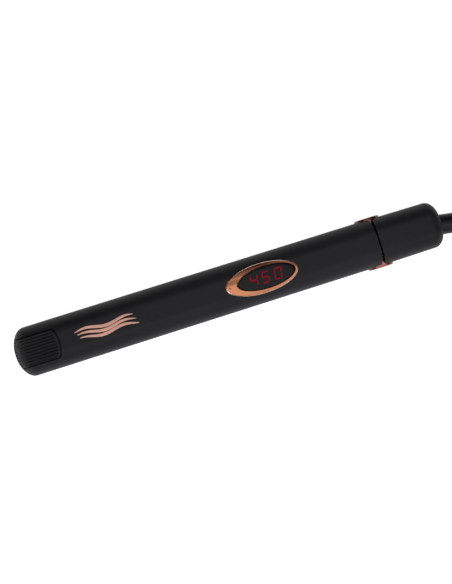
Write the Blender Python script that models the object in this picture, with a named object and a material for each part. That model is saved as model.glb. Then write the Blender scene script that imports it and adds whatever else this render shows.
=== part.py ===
"""Hair straightening iron: two hinged arms with floating plates, held open by a torsion spring.

Lengths are in millimetres, and new_mesh() and add_tube() turn them into metres.
Arm frame: origin on the hinge pin, +X to the rear, +Z from the closing plane to the arm's crown.
The lower arm uses the same frame, turned half a turn about X. The fixed pieces behind the hinge
use the pin frame, which is the arm frame of a closed upper arm.
"""
import math

import bmesh
import bpy
from mathutils import Matrix, Vector

MM = 0.001
GAP = 0.3

# Arms
TIP_X = -247.0
CAP_END = 46.0
HALF_WIDTH = 16.0
ARM_HEIGHT = 17.5
CROWN_HALF = 5.0
SIDE_Z = 3.0
RIM_Z = 0.5
WALL = 1.8
TIP_PLAN_DEPTH = 9.75
TIP_SIDE_DEPTH = 13.0
TIP_RINGS = 7
TIP_FLAT = 0.25
CORNER_STEPS = 6
UPPER_REAR = -1.5
LOWER_REAR = 2.5
OPEN_ANGLE = math.radians(10.0)

# Screws that close each arm: head, shank, where the head starts and ends, and the shank's end
SCREW_XS = (-128.0, -54.0, -22.0)
SCREW_HEAD, SCREW_SHANK = 1.9, 0.9
SCREW_FACE, SCREW_SHOULDER = 1.05, 1.5
SCREW_END, LONG_SCREW_END = 9.0, 13.4
SCREW_BORE, SCREW_BORE_END = 1.2, 14.3
SCREW_SEAT, SCREW_SEAT_END = 2.3, 1.8
BOSS_RADIUS = 2.6

# Tip pads
PAD_REAR = -218.8
PAD_HALF = 9.15
PAD_CORNER = 2.5
PAD_BOW = 1.1
PAD_LOW_Z = 3.5

# Plates and what holds them
PLATE_FRONT, PLATE_REAR = -238.0, -146.0
PLATE_HALF = 12.5
PLATE_FACE, PLATE_BACK = 0.15, 3.0
PLATE_CLEARANCE = 0.4
HEATER_FRONT, HEATER_REAR = -232.0, -152.0
HEATER_HALF, HEATER_THICKNESS = 8.0, 3.0
CUSHION_INSET, CUSHION_LENGTH, CUSHION_HALF = 2.6, 4.0, 5.0
LEAD_RADIUS, LEAD_Y, LEAD_Z = 0.7, 4.0, 8.8
CARRIER_REAR = -136.0
COVER_FRONT, COVER_REAR = CARRIER_REAR + GAP, -12.0
COVER_LOW, COVER_HIGH = 1.0, 2.6
CARRIER_HIGH, BAR_HIGH = 5.0, 7.0
INNER_FIT = WALL + GAP

# Display, boards and buttons
BEZEL_X = -82.8
BEZEL_A, BEZEL_B = 24.6, 9.75
BEZEL_SKIRT = 1.1
LENS_A, LENS_B = 19.6, 7.25
LENS_SHIFT = 3.2
BEZEL_RISE, BEZEL_DIP = 0.5, 0.5
LENS_TOP, LENS_LOW = 16.9, 14.5
BOARD_FRONT, BOARD_REAR = -122.0, -58.5
BOARD_HALF = 10.5
BOARD_LOW, BOARD_HIGH = 8.0, 9.6
BUTTONS = {"power_button": (-118.0, 3.4), "plus_button": (-100.0, 2.7), "minus_button": (-86.0, 2.7)}
BUTTON_FACE = 0.5
BUMPER_X, BUMPER_RADIUS, BUMPER_FACE = -44.0, 3.0, -0.7
FLANGE_WIDTH, FLANGE_THICKNESS = 0.9, 0.8
STEM_RADIUS, STEM_END = 1.2, 5.0
SWITCH_HALF, SWITCH_LOW = 3.0, 6.0

# Hinge
PIN_RADIUS = 2.0
PIN_HALF = 11.9
HINGE_CAP_RADIUS = 8.45
NOTCH_RADIUS = HINGE_CAP_RADIUS + GAP
HINGE_CAP_INNER, HINGE_CAP_OUTER = 12.2, 17.25
EAR_RADIUS = 6.5
EAR_BORE, BUSH_RADIUS = 3.7, 3.4
UPPER_EAR = (6.6, 9.1)
LOWER_EAR = (9.4, 11.9)
BRIDGE = (-28.0, -10.0, 8.0, 10.0)
BRIDGE_BORE = 1.3
STOP_TAIL, STOP_TAIL_HALF = 9.5, 1.5
STOP_BAR_FRONT, STOP_BAR_REAR = 6.9, 9.2
STOP_BAR_LOW, STOP_BAR_HIGH = 3.5, 5.0
TAIL_PLATE_END = 24.0
SPRING_RADIUS, SPRING_WIRE = 4.2, 0.7
SPRING_HALF, SPRING_TURNS = 4.6, 5
SPRING_LEG_X, SPRING_LEG_Z = -14.0, 6.6

# Rear cap, swivel and strain relief
CAP_FRONT = LOWER_REAR + GAP
CAP_FRONT_HALF, CAP_REAR_HALF = 15.85, 15.4
CAP_SHOULDER = 38.0
SHOULDER_WIDTH, SHOULDER_HEIGHT = 11.0, 11.5
BALL_X, BALL_RADIUS = 35.0, 8.5
BALL_FLAT = 7.5
SOCKET_FRONT, SOCKET_REAR, SOCKET_RADIUS = 30.0, 40.0, 12.4
RELIEF_YAW, RELIEF_DROOP = math.radians(-8.5), math.radians(11.0)
RELIEF_START, RELIEF_END = BALL_FLAT + GAP, 66.5
RELIEF_HOLE = 7.2
CAP_SCREW_X, CAP_SCREW_Y = 18.0, 6.0
CAP_SCREW_HEAD, CAP_SCREW_SHANK = 2.6, 1.2
CAP_SCREW_FACE, CAP_SCREW_SHOULDER, CAP_SCREW_END = 0.6, 1.9, 10.5
CAP_BOSS_RADIUS, CAP_BOSS_END = 3.6, 7.0
CAP_SEAT_RADIUS, CAP_SEAT_END, CAP_SCREW_BORE = 2.9, 2.2, 1.5
SLEEVE_RADIUS = 1.1

# Cord: routes and the hank are in world millimetres
PIN_X, PIN_Z = -(TIP_X + CAP_END) / 2, ARM_HEIGHT
CORD_RADIUS = 3.0
LEAD_ROUTE = [(200.35, -9.69, 4.75), (205.5, -10.4, 4.05), (210.0, -11.0, 3.75), (214.5, -11.4, 3.75)]
TAIL_ROUTE = [
    (334.0, -12.5, 28.8), (346.0, -12.1, 28.9), (355.5, -7.2, 29.3), (361.4, 1.5, 30.0),
    (362.2, 12.0, 31.0), (357.5, 21.3, 32.2), (348.5, 27.0, 33.3), (337.5, 28.3, 34.1),
    (326.5, 26.2, 34.5), (315.8, 22.35, 34.5),
]
HANK_FRONT, HANK_Y = 233.0, 11.5
HANK_RUN, HANK_FOLD, HANK_WAIST = 109.0, 24.0, 10.0
HANK_LIFT, HANK_LAYERS = 1.4, 4
TIE_WIDTH, TIE_THICKNESS = 16.0, 1.0
PLUG_CENTRE, PLUG_YAW = (287.5, 11.5, 34.5), math.radians(201.0)
PLUG_FACE, BLADE_END = 16.0, 32.8
BLADE_Y, BLADE_HALF_THICKNESS, BLADE_HALF_WIDTH = 6.35, 0.75, 3.15

# Finish: base colour, metallic, roughness
FINISHES = {
    "soft_touch": ((0.020, 0.020, 0.021), 0.0, 0.55),
    "inner_plastic": ((0.030, 0.030, 0.031), 0.0, 0.60),
    "rose_gold": ((0.83, 0.47, 0.36), 1.0, 0.28),
    "ceramic": ((0.10, 0.09, 0.09), 0.6, 0.25),
    "steel": ((0.60, 0.60, 0.62), 1.0, 0.35),
    "spring_steel": ((0.45, 0.45, 0.47), 1.0, 0.30),
    "dark_lens": ((0.010, 0.008, 0.008), 0.0, 0.10),
    "circuit": ((0.02, 0.16, 0.07), 0.0, 0.50),
    "white_ceramic": ((0.75, 0.73, 0.70), 0.0, 0.60),
    "silicone": ((0.55, 0.20, 0.12), 0.0, 0.70),
    "sleeving": ((0.05, 0.046, 0.042), 0.0, 0.80),
    "black_rubber": ((0.015, 0.015, 0.015), 0.0, 0.65),
    "nickel": ((0.70, 0.67, 0.60), 1.0, 0.25),
}

AXIS_Y = Matrix.Rotation(-math.pi / 2, 4, "X")
AXIS_X = Matrix.Rotation(math.pi / 2, 4, "Y")
AXIS_Z = Matrix.Identity(4)


# Shapes

def loft(rings, closed=False):
    """A solid through rings of points: flat ends, or joined end to start when closed."""
    bm = bmesh.new()
    loops = [[bm.verts.new(point) for point in ring] for ring in rings]
    pairs = list(zip(loops, loops[1:]))
    if closed:
        pairs.append((loops[-1], loops[0]))
    else:
        bm.faces.new(loops[0])
        bm.faces.new(loops[-1])
    for low, high in pairs:
        for i in range(len(low)):
            bm.faces.new((low[i - 1], low[i], high[i], high[i - 1]))
    return bm


def circle(radius, height, axis=AXIS_Z, sides=24):
    turns = [2 * math.pi * i / sides for i in range(sides)]
    return [axis @ Vector((radius * math.cos(a), radius * math.sin(a), height)) for a in turns]


def turned(profile, axis=AXIS_Z, sides=24, closed=False):
    """A turned solid from (radius, height) pairs, or a ring when the profile closes on itself."""
    return loft([circle(radius, height, axis, sides) for radius, height in profile], closed)


def placed(x, y, z, axis=AXIS_Z):
    return Matrix.Translation((x, y, z)) @ axis


def box(x0, x1, y0, y1, z0, z1):
    plan = [(x0, y0), (x1, y0), (x1, y1), (x0, y1)]
    return prism(plan, z0, z1)


def prism(plan, z0, z1):
    return loft([[(x, y, z) for x, y in plan] for z in (z0, z1)])


def side_prism(profile, y0, y1):
    """A plate of an x-z profile, between two values of y."""
    return loft([[(x, y, z) for x, z in profile] for y in (y0, y1)])


def arc(cx, cy, radius, start, end, steps):
    angles = [math.radians(start + (end - start) * i / steps) for i in range(steps + 1)]
    return [(cx + radius * math.cos(a), cy + radius * math.sin(a)) for a in angles]


def rounded_rectangle(half_width, low, high, radius, steps=4):
    """Points of an upright rectangle with round corners, as (y, z)."""
    y, top, bottom = half_width - radius, high - radius, low + radius
    corners = [(y, top, 0), (-y, top, 90), (-y, bottom, 180), (y, bottom, 270)]
    return [p for cy, cz, turn in corners for p in arc(cy, cz, radius, turn, turn + 90, steps)]


def ellipse(cx, a, b, height, sides=40):
    """A ring of an upright oval, whose height may follow its y."""
    points = []
    for i in range(sides):
        turn = 2 * math.pi * i / sides
        y = b * math.sin(turn)
        points.append((cx + a * math.cos(turn), y, height(y) if callable(height) else height))
    return points


def smooth_route(route, steps=4):
    """Points of a Catmull-Rom curve through the route's own points."""
    ends = [2 * Vector(route[0]) - Vector(route[1])]
    ends += [Vector(p) for p in route]
    ends.append(2 * Vector(route[-1]) - Vector(route[-2]))
    points = []
    for a, b, c, d in zip(ends, ends[1:], ends[2:], ends[3:]):
        for i in range(steps):
            t = i / steps
            points.append(0.5 * (2 * b + (c - a) * t + (2 * a - 5 * b + 4 * c - d) * t * t
                                 + (3 * b - a - 3 * c + d) * t ** 3))
    points.append(ends[-2])
    return points


# Objects

def new_material(name, finish):
    colour, metallic, roughness = FINISHES[finish]
    material = bpy.data.materials.new(name)
    material.use_nodes = True
    shader = material.node_tree.nodes["Principled BSDF"]
    shader.inputs["Base Color"].default_value = (*colour, 1.0)
    shader.inputs["Metallic"].default_value = metallic
    shader.inputs["Roughness"].default_value = roughness
    return material


def new_mesh(name, bm):
    bmesh.ops.scale(bm, vec=(MM, MM, MM), verts=bm.verts)
    bmesh.ops.recalc_face_normals(bm, faces=bm.faces)
    mesh = bpy.data.meshes.new(name)
    bm.to_mesh(mesh)
    bm.free()
    mesh.shade_smooth()
    mesh.set_sharp_from_angle(angle=math.radians(30))
    return mesh


def link(obj, frame):
    bpy.context.scene.collection.objects.link(obj)
    obj.parent = frame
    return obj


def add_frame(name, place, turn):
    frame = bpy.data.objects.new(name, None)
    frame.location = [value * MM for value in place]
    frame.rotation_euler = turn
    return link(frame, None)


def add_part(name, bm, finish, frame):
    part = bpy.data.objects.new(name, new_mesh(name, bm))
    part.data.materials.append(new_material(name, finish))
    return link(part, frame)


def add_tool(target, operation, bm):
    """Cut, join or trim a part by a hidden solid in the same frame."""
    name = f"{target.name}_tool_{len(target.modifiers)}"
    tool = link(bpy.data.objects.new(name, new_mesh(name, bm)), target.parent)
    tool.hide_render = True
    tool.display_type = "WIRE"
    modifier = target.modifiers.new(name, "BOOLEAN")
    modifier.operation = operation
    modifier.solver = "EXACT"
    modifier.object = tool


def cut(target, *solids):
    for bm in solids:
        add_tool(target, "DIFFERENCE", bm)


def join(target, *solids):
    for bm in solids:
        add_tool(target, "UNION", bm)


def round_edges(target, width, segments=2):
    bevel = target.modifiers.new("round_edges", "BEVEL")
    bevel.width = width * MM
    bevel.segments = segments
    bevel.limit_method = "ANGLE"
    bevel.angle_limit = math.radians(40)


def add_tube(name, route, radius, finish, frame, steps=4, sides_level=2):
    curve = bpy.data.curves.new(name, "CURVE")
    curve.dimensions = "3D"
    curve.bevel_depth = radius * MM
    curve.bevel_resolution = sides_level
    curve.use_fill_caps = True
    points = smooth_route(route, steps)
    spline = curve.splines.new("POLY")
    spline.points.add(len(points) - 1)
    for spot, point in zip(spline.points, points):
        spot.co = (*(point * MM), 1.0)
    curve.materials.append(new_material(name, finish))
    return link(bpy.data.objects.new(name, curve), frame)


# Arm shell

def tip_share(distance, depth, inset):
    """The share of the full size that is left near the round tip."""
    if distance >= depth:
        return 1.0
    back = (depth - distance) / (depth - inset)
    return math.sqrt(max(0.0, 1.0 - back * back))


def arm_ring(x, inset, low_z):
    """The arm's section at x, moved inwards by inset and open down to low_z."""
    distance = x - TIP_X
    wide = tip_share(distance, TIP_PLAN_DEPTH, inset)
    tall = tip_share(distance, TIP_SIDE_DEPTH, inset)
    half, height = (HALF_WIDTH - inset) * wide, (ARM_HEIGHT - inset) * tall
    crown, side = CROWN_HALF * wide, SIDE_Z * tall
    angles = [math.pi / 2 * i / CORNER_STEPS for i in range(CORNER_STEPS + 1)]
    quarter = [(crown + (half - crown) * math.cos(a), side + (height - side) * math.sin(a))
               for a in angles]
    points = [(half, low_z)] + quarter + [(-y, z) for y, z in reversed(quarter)] + [(-half, low_z)]
    return [(x, y, z) for y, z in points]


def arm_solid(inset, low_z, rear):
    """The arm's round-nosed solid, down to low_z and back to rear."""
    depth = TIP_SIDE_DEPTH - inset
    turns = [math.pi / 2 * i / TIP_RINGS for i in range(1, TIP_RINGS + 1)]
    nose = [TIP_X + inset + TIP_FLAT] + [TIP_X + inset + depth * (1 - math.cos(a)) for a in turns]
    return loft([arm_ring(x, inset, low_z) for x in nose + [rear]])


def crown_height(y, inset=0.0):
    """The height of the arm's surface at y, moved inwards by inset."""
    beyond = max(0.0, abs(y) - CROWN_HALF) / (HALF_WIDTH - inset - CROWN_HALF)
    return SIDE_Z + (ARM_HEIGHT - inset - SIDE_Z) * math.sqrt(1 - beyond * beyond)


def pad_prism(grow):
    """The tip pad's outline: open to the tip, with round corners and a bowed rear edge."""
    half, rear, radius = PAD_HALF + grow, PAD_REAR + grow, PAD_CORNER + grow
    edge = half - radius
    corner = arc(rear - PAD_BOW - radius, edge, radius, 90, 20, 3)
    bow = [(rear - PAD_BOW * (y / edge) ** 2, y) for y in (0.7 * edge, 0.35 * edge)]
    side = [(TIP_X - radius, half)] + corner + bow
    plan = side + [(rear, 0.0)] + [(x, -y) for x, y in reversed(side)]
    return prism(plan, PAD_LOW_Z - grow, ARM_HEIGHT + radius)


def hinge_notches():
    """Round holes in the side walls, one for each hinge cap."""
    spans = [(HINGE_CAP_INNER - GAP, HALF_WIDTH + 4), (-HALF_WIDTH - 4, GAP - HINGE_CAP_INNER)]
    return [turned([(NOTCH_RADIUS, a), (NOTCH_RADIUS, b)], AXIS_Y, 32) for a, b in spans]


def screw_boss(x):
    """A boss under the crown. The one over the bracket is shorter."""
    low = BRIDGE[3] + GAP if BRIDGE[0] < x < BRIDGE[1] else COVER_HIGH + 2 * GAP
    return turned([(BOSS_RADIUS, low), (BOSS_RADIUS, ARM_HEIGHT - WALL / 2)], placed(x, 0, 0), 12)


def round_bore(x, radius, low, high):
    return turned([(radius, low), (radius, high)], placed(x, 0, 0), 12)


def add_housing(name, rear, frame):
    housing = add_part(name, arm_solid(0.0, RIM_Z, rear), "soft_touch", frame)
    cut(housing, arm_solid(WALL, -WALL, rear + WALL), pad_prism(GAP), *hinge_notches())
    for x in SCREW_XS:
        join(housing, screw_boss(x))
        cut(housing, round_bore(x, SCREW_BORE, -WALL, SCREW_BORE_END))
    return housing


def add_tip_pad(name, frame):
    pad = add_part(name, arm_solid(0.0, RIM_Z, PAD_REAR + 6), "inner_plastic", frame)
    cut(pad, arm_solid(WALL, -WALL, PAD_REAR + 8))
    add_tool(pad, "INTERSECT", pad_prism(0.0))
    return pad


def add_carrier(name, frame):
    """The heat-proof tray that the plate floats in, with a bar over each end of the plate."""
    carrier = add_part(name, arm_solid(INNER_FIT, COVER_LOW, CARRIER_REAR), "inner_plastic", frame)
    wide, front, rear = HALF_WIDTH, TIP_X - 1, CARRIER_REAR + 1
    half = PLATE_HALF + PLATE_CLEARANCE
    cut(
        carrier,
        box(front, rear, -wide, wide, BAR_HIGH, ARM_HEIGHT + 1),
        box(HEATER_FRONT - 0.6, HEATER_REAR + 0.6, -wide, wide, CARRIER_HIGH, ARM_HEIGHT + 2),
        box(PLATE_FRONT - PLATE_CLEARANCE, PLATE_REAR + PLATE_CLEARANCE, -half, half, 0, CARRIER_HIGH),
    )
    return carrier


def add_cover(name, frame, bores):
    """The handle's inner cover, with a bore for each button and bumper and a seat for each screw."""
    half = HALF_WIDTH - INNER_FIT
    cover = add_part(name, box(COVER_FRONT, COVER_REAR, -half, half, COVER_LOW, COVER_HIGH),
                     "soft_touch", frame)
    for x, radius in bores:
        cut(cover, round_bore(x, radius + GAP, 0, 4))
    for x in SCREW_XS:
        seat = [(SCREW_SEAT, 0), (SCREW_SEAT, SCREW_SEAT_END), (SCREW_BORE, SCREW_SEAT_END), (SCREW_BORE, 4)]
        cut(cover, turned(seat, placed(x, 0, 0), 12))
    return cover


def add_arm_screws(side, frame):
    for i, x in enumerate(SCREW_XS, 1):
        end = LONG_SCREW_END if BRIDGE[0] < x < BRIDGE[1] else SCREW_END
        profile = [(SCREW_HEAD, SCREW_FACE), (SCREW_HEAD, SCREW_SHOULDER), (SCREW_SHANK, SCREW_SHOULDER),
                   (SCREW_SHANK, end)]
        add_part(f"{side}_screw_{i}", turned(profile, placed(x, 0, 0), 12), "steel", frame)


# Plates, heaters and their mounts

def add_plate_group(side, frame):
    plate = add_part(
        f"{side}_plate",
        box(PLATE_FRONT, PLATE_REAR, -PLATE_HALF, PLATE_HALF, PLATE_FACE, PLATE_BACK),
        "ceramic", frame,
    )
    round_edges(plate, 0.8)
    low = PLATE_BACK + GAP
    heater = box(HEATER_FRONT, HEATER_REAR, -HEATER_HALF, HEATER_HALF, low, low + HEATER_THICKNESS)
    add_part(f"{side}_heater", heater, "white_ceramic", frame)
    seats = {"front": PLATE_FRONT + CUSHION_INSET, "rear": PLATE_REAR - CUSHION_INSET}
    for place, x in seats.items():
        cushion = box(x - CUSHION_LENGTH / 2, x + CUSHION_LENGTH / 2, -CUSHION_HALF, CUSHION_HALF,
                      low, CARRIER_HIGH - GAP)
        add_part(f"{side}_cushion_{place}", cushion, "silicone", frame)
    for place, y in {"left": -LEAD_Y, "right": LEAD_Y}.items():
        route = [(-156, y, 8.6), (-146, y, LEAD_Z), (-134, y, LEAD_Z), (BOARD_FRONT - GAP, y, LEAD_Z)]
        add_tube(f"{side}_heater_lead_{place}", route, LEAD_RADIUS, "sleeving", frame, 1, 1)


# Display, boards and buttons

def add_display(frame, housing):
    x = BEZEL_X
    lens_x = x + LENS_SHIFT
    cut(housing, loft([ellipse(x, BEZEL_A + GAP, BEZEL_B + GAP, z) for z in (8, 22)]))
    fit, deep = INNER_FIT + 0.1, WALL + 1.4
    rings = [
        ellipse(x, BEZEL_A, BEZEL_B, lambda y: crown_height(y) + BEZEL_RISE),
        ellipse(x, BEZEL_A, BEZEL_B, lambda y: crown_height(y, fit)),
        ellipse(x, BEZEL_A + BEZEL_SKIRT, BEZEL_B + BEZEL_SKIRT, lambda y: crown_height(y, fit)),
        ellipse(x, BEZEL_A + BEZEL_SKIRT, BEZEL_B + BEZEL_SKIRT, lambda y: crown_height(y, deep)),
        ellipse(lens_x, LENS_A, LENS_B, lambda y: crown_height(y, deep)),
        ellipse(lens_x, LENS_A, LENS_B, lambda y: crown_height(y) - BEZEL_DIP),
    ]
    add_part("display_bezel", loft(rings, closed=True), "rose_gold", frame)
    lens = [ellipse(lens_x, LENS_A - GAP, LENS_B - GAP, z) for z in (LENS_LOW, LENS_TOP)]
    add_part("display_lens", loft(lens), "dark_lens", frame)
    add_part("display_module", box(lens_x - 13, lens_x + 13, -5.5, 5.5, BOARD_HIGH + GAP, LENS_LOW - GAP),
             "inner_plastic", frame)


def add_board(name, frame, blocks):
    board = add_part(name, box(BOARD_FRONT, BOARD_REAR, -BOARD_HALF, BOARD_HALF, BOARD_LOW, BOARD_HIGH),
                     "circuit", frame)
    join(board, *[box(*block) for block in blocks])
    return board


def add_plug_in(name, x, radius, face, finish, frame):
    """A button or bumper: a round face through the cover, a flange behind it and a short stem."""
    flange = COVER_HIGH + GAP
    profile = [
        (radius - 0.3, face), (radius, face + 0.3), (radius, flange), (radius + FLANGE_WIDTH, flange),
        (radius + FLANGE_WIDTH, flange + FLANGE_THICKNESS), (STEM_RADIUS, flange + FLANGE_THICKNESS),
        (STEM_RADIUS, STEM_END),
    ]
    add_part(name, turned(profile, placed(x, 0, 0), 20), finish, frame)


# Hinge

def ear_profile():
    """The side view of a bracket ear: an eye round the pin and an arm up to the bridge."""
    eye = arc(0, 0, EAR_RADIUS, 90, -150, 16)
    front, _, low, high = BRIDGE
    return eye + [(-11.5, low), (front, low), (front, high), (-9.0, high)]


def add_bracket(name, ears, frame):
    inner, outer = ears
    front, rear, low, high = BRIDGE
    bracket = add_part(name, box(front, rear, -outer, outer, low, high), "steel", frame)
    for sign in (-1, 1):
        join(bracket, side_prism(ear_profile(), sign * inner, sign * outer))
    cut(bracket, round_bore(SCREW_XS[2], BRIDGE_BORE, low - 1, high + 1))
    return bracket


def add_brackets(upper, lower):
    """The upper bracket's two tails rest on the lower bracket's stop bar when the iron is open."""
    top = add_bracket("upper_hinge_bracket", UPPER_EAR, upper)
    inner, outer = UPPER_EAR
    for sign in (-1, 1):
        sides = sorted((sign * inner, sign * outer))
        join(top, box(0, STOP_TAIL, *sides, -STOP_TAIL_HALF, STOP_TAIL_HALF))
    cut(top, turned([(EAR_BORE, -13), (EAR_BORE, 13)], AXIS_Y, 20))
    bottom = add_bracket("lower_hinge_bracket", LOWER_EAR, lower)
    inner, outer = LOWER_EAR
    for sign in (-1, 1):
        sides = sorted((sign * inner, sign * outer))
        join(bottom, box(2, STOP_BAR_REAR, *sides, STOP_BAR_LOW, BRIDGE[3]))
    join(bottom, box(STOP_BAR_FRONT, STOP_BAR_REAR, -outer, outer, STOP_BAR_LOW, STOP_BAR_HIGH),
         box(STOP_BAR_FRONT, TAIL_PLATE_END, -outer, outer, BRIDGE[2], BRIDGE[3]))
    cut(bottom, turned([(PIN_RADIUS + GAP, -13), (PIN_RADIUS + GAP, 13)], AXIS_Y, 20))
    for sign in (-1, 1):
        cut(bottom, turned([(CAP_SCREW_BORE, 7), (CAP_SCREW_BORE, 11)],
                           placed(CAP_SCREW_X, sign * CAP_SCREW_Y, 0), 12))


def spring_route():
    """A leg under the upper bridge, the coil round the pin, and a leg over the lower bridge."""
    steps = 10
    points = [(SPRING_LEG_X, -SPRING_HALF, SPRING_LEG_Z)]
    for i in range(SPRING_TURNS * steps + steps // 2 + 1):
        turn = math.pi / 2 - 2 * math.pi * i / steps
        y = SPRING_HALF * (2 * i / (SPRING_TURNS * steps + steps / 2) - 1)
        points.append((SPRING_RADIUS * math.cos(turn), y, SPRING_RADIUS * math.sin(turn)))
    points.append((SPRING_LEG_X, SPRING_HALF, -SPRING_LEG_Z))
    return points


def add_hinge(pin_frame):
    pin = [(1.7, -PIN_HALF), (PIN_RADIUS, 0.3 - PIN_HALF), (PIN_RADIUS, PIN_HALF - 0.3), (1.7, PIN_HALF)]
    add_part("hinge_pin", turned(pin, AXIS_Y, 20), "steel", pin_frame)
    inner, outer = UPPER_EAR
    for side, sign in {"left": -1, "right": 1}.items():
        low, high = sorted((sign * inner, sign * outer))
        bush = [(PIN_RADIUS + GAP, low), (BUSH_RADIUS, low), (BUSH_RADIUS, high), (PIN_RADIUS + GAP, high)]
        add_part(f"hinge_bush_{side}", turned(bush, AXIS_Y, 20, closed=True), "nickel", pin_frame)
        cap = [
            (HINGE_CAP_RADIUS, HINGE_CAP_INNER), (HINGE_CAP_RADIUS, HINGE_CAP_OUTER - 0.7),
            (HINGE_CAP_RADIUS - 0.5, HINGE_CAP_OUTER - 0.2), (5.5, HINGE_CAP_OUTER), (1.0, HINGE_CAP_OUTER),
        ]
        rings = [(radius, sign * height) for radius, height in cap]
        add_part(f"hinge_cap_{side}", turned(rings, AXIS_Y, 28), "rose_gold", pin_frame)
    add_tube("hinge_spring", spring_route(), SPRING_WIRE, "spring_steel", pin_frame, 1, 0)


# Rear cap, swivel and strain relief

def cap_ring(x, inset):
    """The rear cap's full section at x, rounding off behind its shoulder."""
    taper = min(1.0, (x - CAP_FRONT) / (CAP_SHOULDER - CAP_FRONT))
    end = CAP_END - inset - CAP_SHOULDER
    shrink = 1 - math.sqrt(max(0.0, 1 - (max(0.0, x - CAP_SHOULDER) / end) ** 2))
    half = CAP_FRONT_HALF + (CAP_REAR_HALF - CAP_FRONT_HALF) * taper - inset - SHOULDER_WIDTH * shrink
    height = ARM_HEIGHT - inset - SHOULDER_HEIGHT * shrink
    crown, side = CROWN_HALF * half / CAP_FRONT_HALF, SIDE_Z * height / ARM_HEIGHT
    angles = [math.pi / 2 * i / CORNER_STEPS for i in range(CORNER_STEPS + 1)]
    quarter = [(crown + (half - crown) * math.cos(a), side + (height - side) * math.sin(a))
               for a in angles]
    top = quarter + [(-y, z) for y, z in reversed(quarter)]
    return [(x, y, z) for y, z in top + [(-y, -z) for y, z in top]]


def cap_solid(inset, front):
    depth = CAP_END - inset - CAP_SHOULDER
    shoulder = [CAP_SHOULDER + depth * math.sin(math.pi / 2 * i / 5) for i in range(6)]
    return loft([cap_ring(x, inset) for x in [front] + shoulder])


def relief_axis():
    """The frame whose +Z runs from the ball's centre along the strain relief."""
    along = Vector((
        math.cos(RELIEF_DROOP) * math.cos(RELIEF_YAW),
        math.cos(RELIEF_DROOP) * math.sin(RELIEF_YAW),
        -math.sin(RELIEF_DROOP),
    ))
    return placed(BALL_X, 0, 0, along.to_track_quat("Z", "Y").to_matrix().to_4x4())


def add_rear_cap(pin_frame):
    cap = add_part("rear_cap", cap_solid(0.0, CAP_FRONT), "soft_touch", pin_frame)
    cut(cap, cap_solid(WALL, CAP_FRONT - WALL), *hinge_notches())
    cut(cap, turned([(RELIEF_HOLE, 4), (RELIEF_HOLE, 24)], relief_axis(), 32))
    for i, sign in enumerate((-1, 1), 1):
        place = placed(CAP_SCREW_X, sign * CAP_SCREW_Y, -ARM_HEIGHT)
        join(cap, turned([(CAP_BOSS_RADIUS, 1.0), (CAP_BOSS_RADIUS, CAP_BOSS_END)], place, 16))
        cut(cap, turned([(CAP_SEAT_RADIUS, -1), (CAP_SEAT_RADIUS, CAP_SEAT_END)], place, 16),
            turned([(CAP_SCREW_BORE, -2), (CAP_SCREW_BORE, CAP_BOSS_END + 1)], place, 12))
        screw = [(CAP_SCREW_HEAD, CAP_SCREW_FACE), (CAP_SCREW_HEAD, CAP_SCREW_SHOULDER),
                 (CAP_SCREW_SHANK, CAP_SCREW_SHOULDER), (CAP_SCREW_SHANK, CAP_SCREW_END)]
        add_part(f"rear_cap_screw_{i}", turned(screw, place, 16), "steel", pin_frame)


def add_swivel(pin_frame):
    reach = [SOCKET_FRONT + (SOCKET_REAR - SOCKET_FRONT) * i / 4 for i in range(5)]
    seat = [(math.sqrt((BALL_RADIUS + GAP) ** 2 - (x - BALL_X) ** 2), x) for x in reach]
    ring = seat + [(SOCKET_RADIUS, SOCKET_REAR), (SOCKET_RADIUS, SOCKET_FRONT)]
    add_part("swivel_socket", turned(ring, AXIS_X, 20, closed=True), "inner_plastic", pin_frame)
    flat = math.asin(BALL_FLAT / BALL_RADIUS)
    angles = [-1.4 + (flat + 1.4) * i / 6 for i in range(7)]
    ball = [(BALL_RADIUS * math.cos(a), BALL_RADIUS * math.sin(a)) for a in angles]
    add_part("swivel_ball", turned(ball, relief_axis(), 20), "inner_plastic", pin_frame)
    relief = [(6.3, RELIEF_START), (6.75, 10.5), (6.75, 24.0), (5.9, 26.0), (4.6, RELIEF_END - 1),
              (4.25, RELIEF_END)]
    add_part("strain_relief", turned(relief, relief_axis(), 24), "black_rubber", pin_frame)


def add_harnesses(pin_frame, upper):
    """Mains sleeve past the hinge to the power board, and the supply sleeve to the upper board."""
    mains = [(25.5, -2.0, -1.0), (19, -2.6, -4.2), (11, -3.2, -6.4), (0, -3.4, -6.4), (-14, -3.4, -6.4),
             (-30, -4.3, -6.6), (-44, -5.0, -6.8), (-58.0, -5.0, -6.8)]
    add_tube("mains_sleeve", mains, SLEEVE_RADIUS, "sleeving", pin_frame, 2, 1)
    crossing = [(12, 2.9, 5.6), (6, 2.9, 6.6), (0, 2.9, 6.7), (-9, 2.9, 6.2)]
    add_tube("hinge_sleeve", crossing, SLEEVE_RADIUS, "sleeving", pin_frame, 2, 1)
    supply = [(-12.5, 2.9, 6.2), (-24, 3.2, 6.2), (-40, 5.0, 6.6), (-52, 5.5, 7.6), (-58.0, 5.5, 8.6)]
    add_tube("supply_sleeve", supply, SLEEVE_RADIUS, "sleeving", upper, 2, 1)


# Free cord

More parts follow.
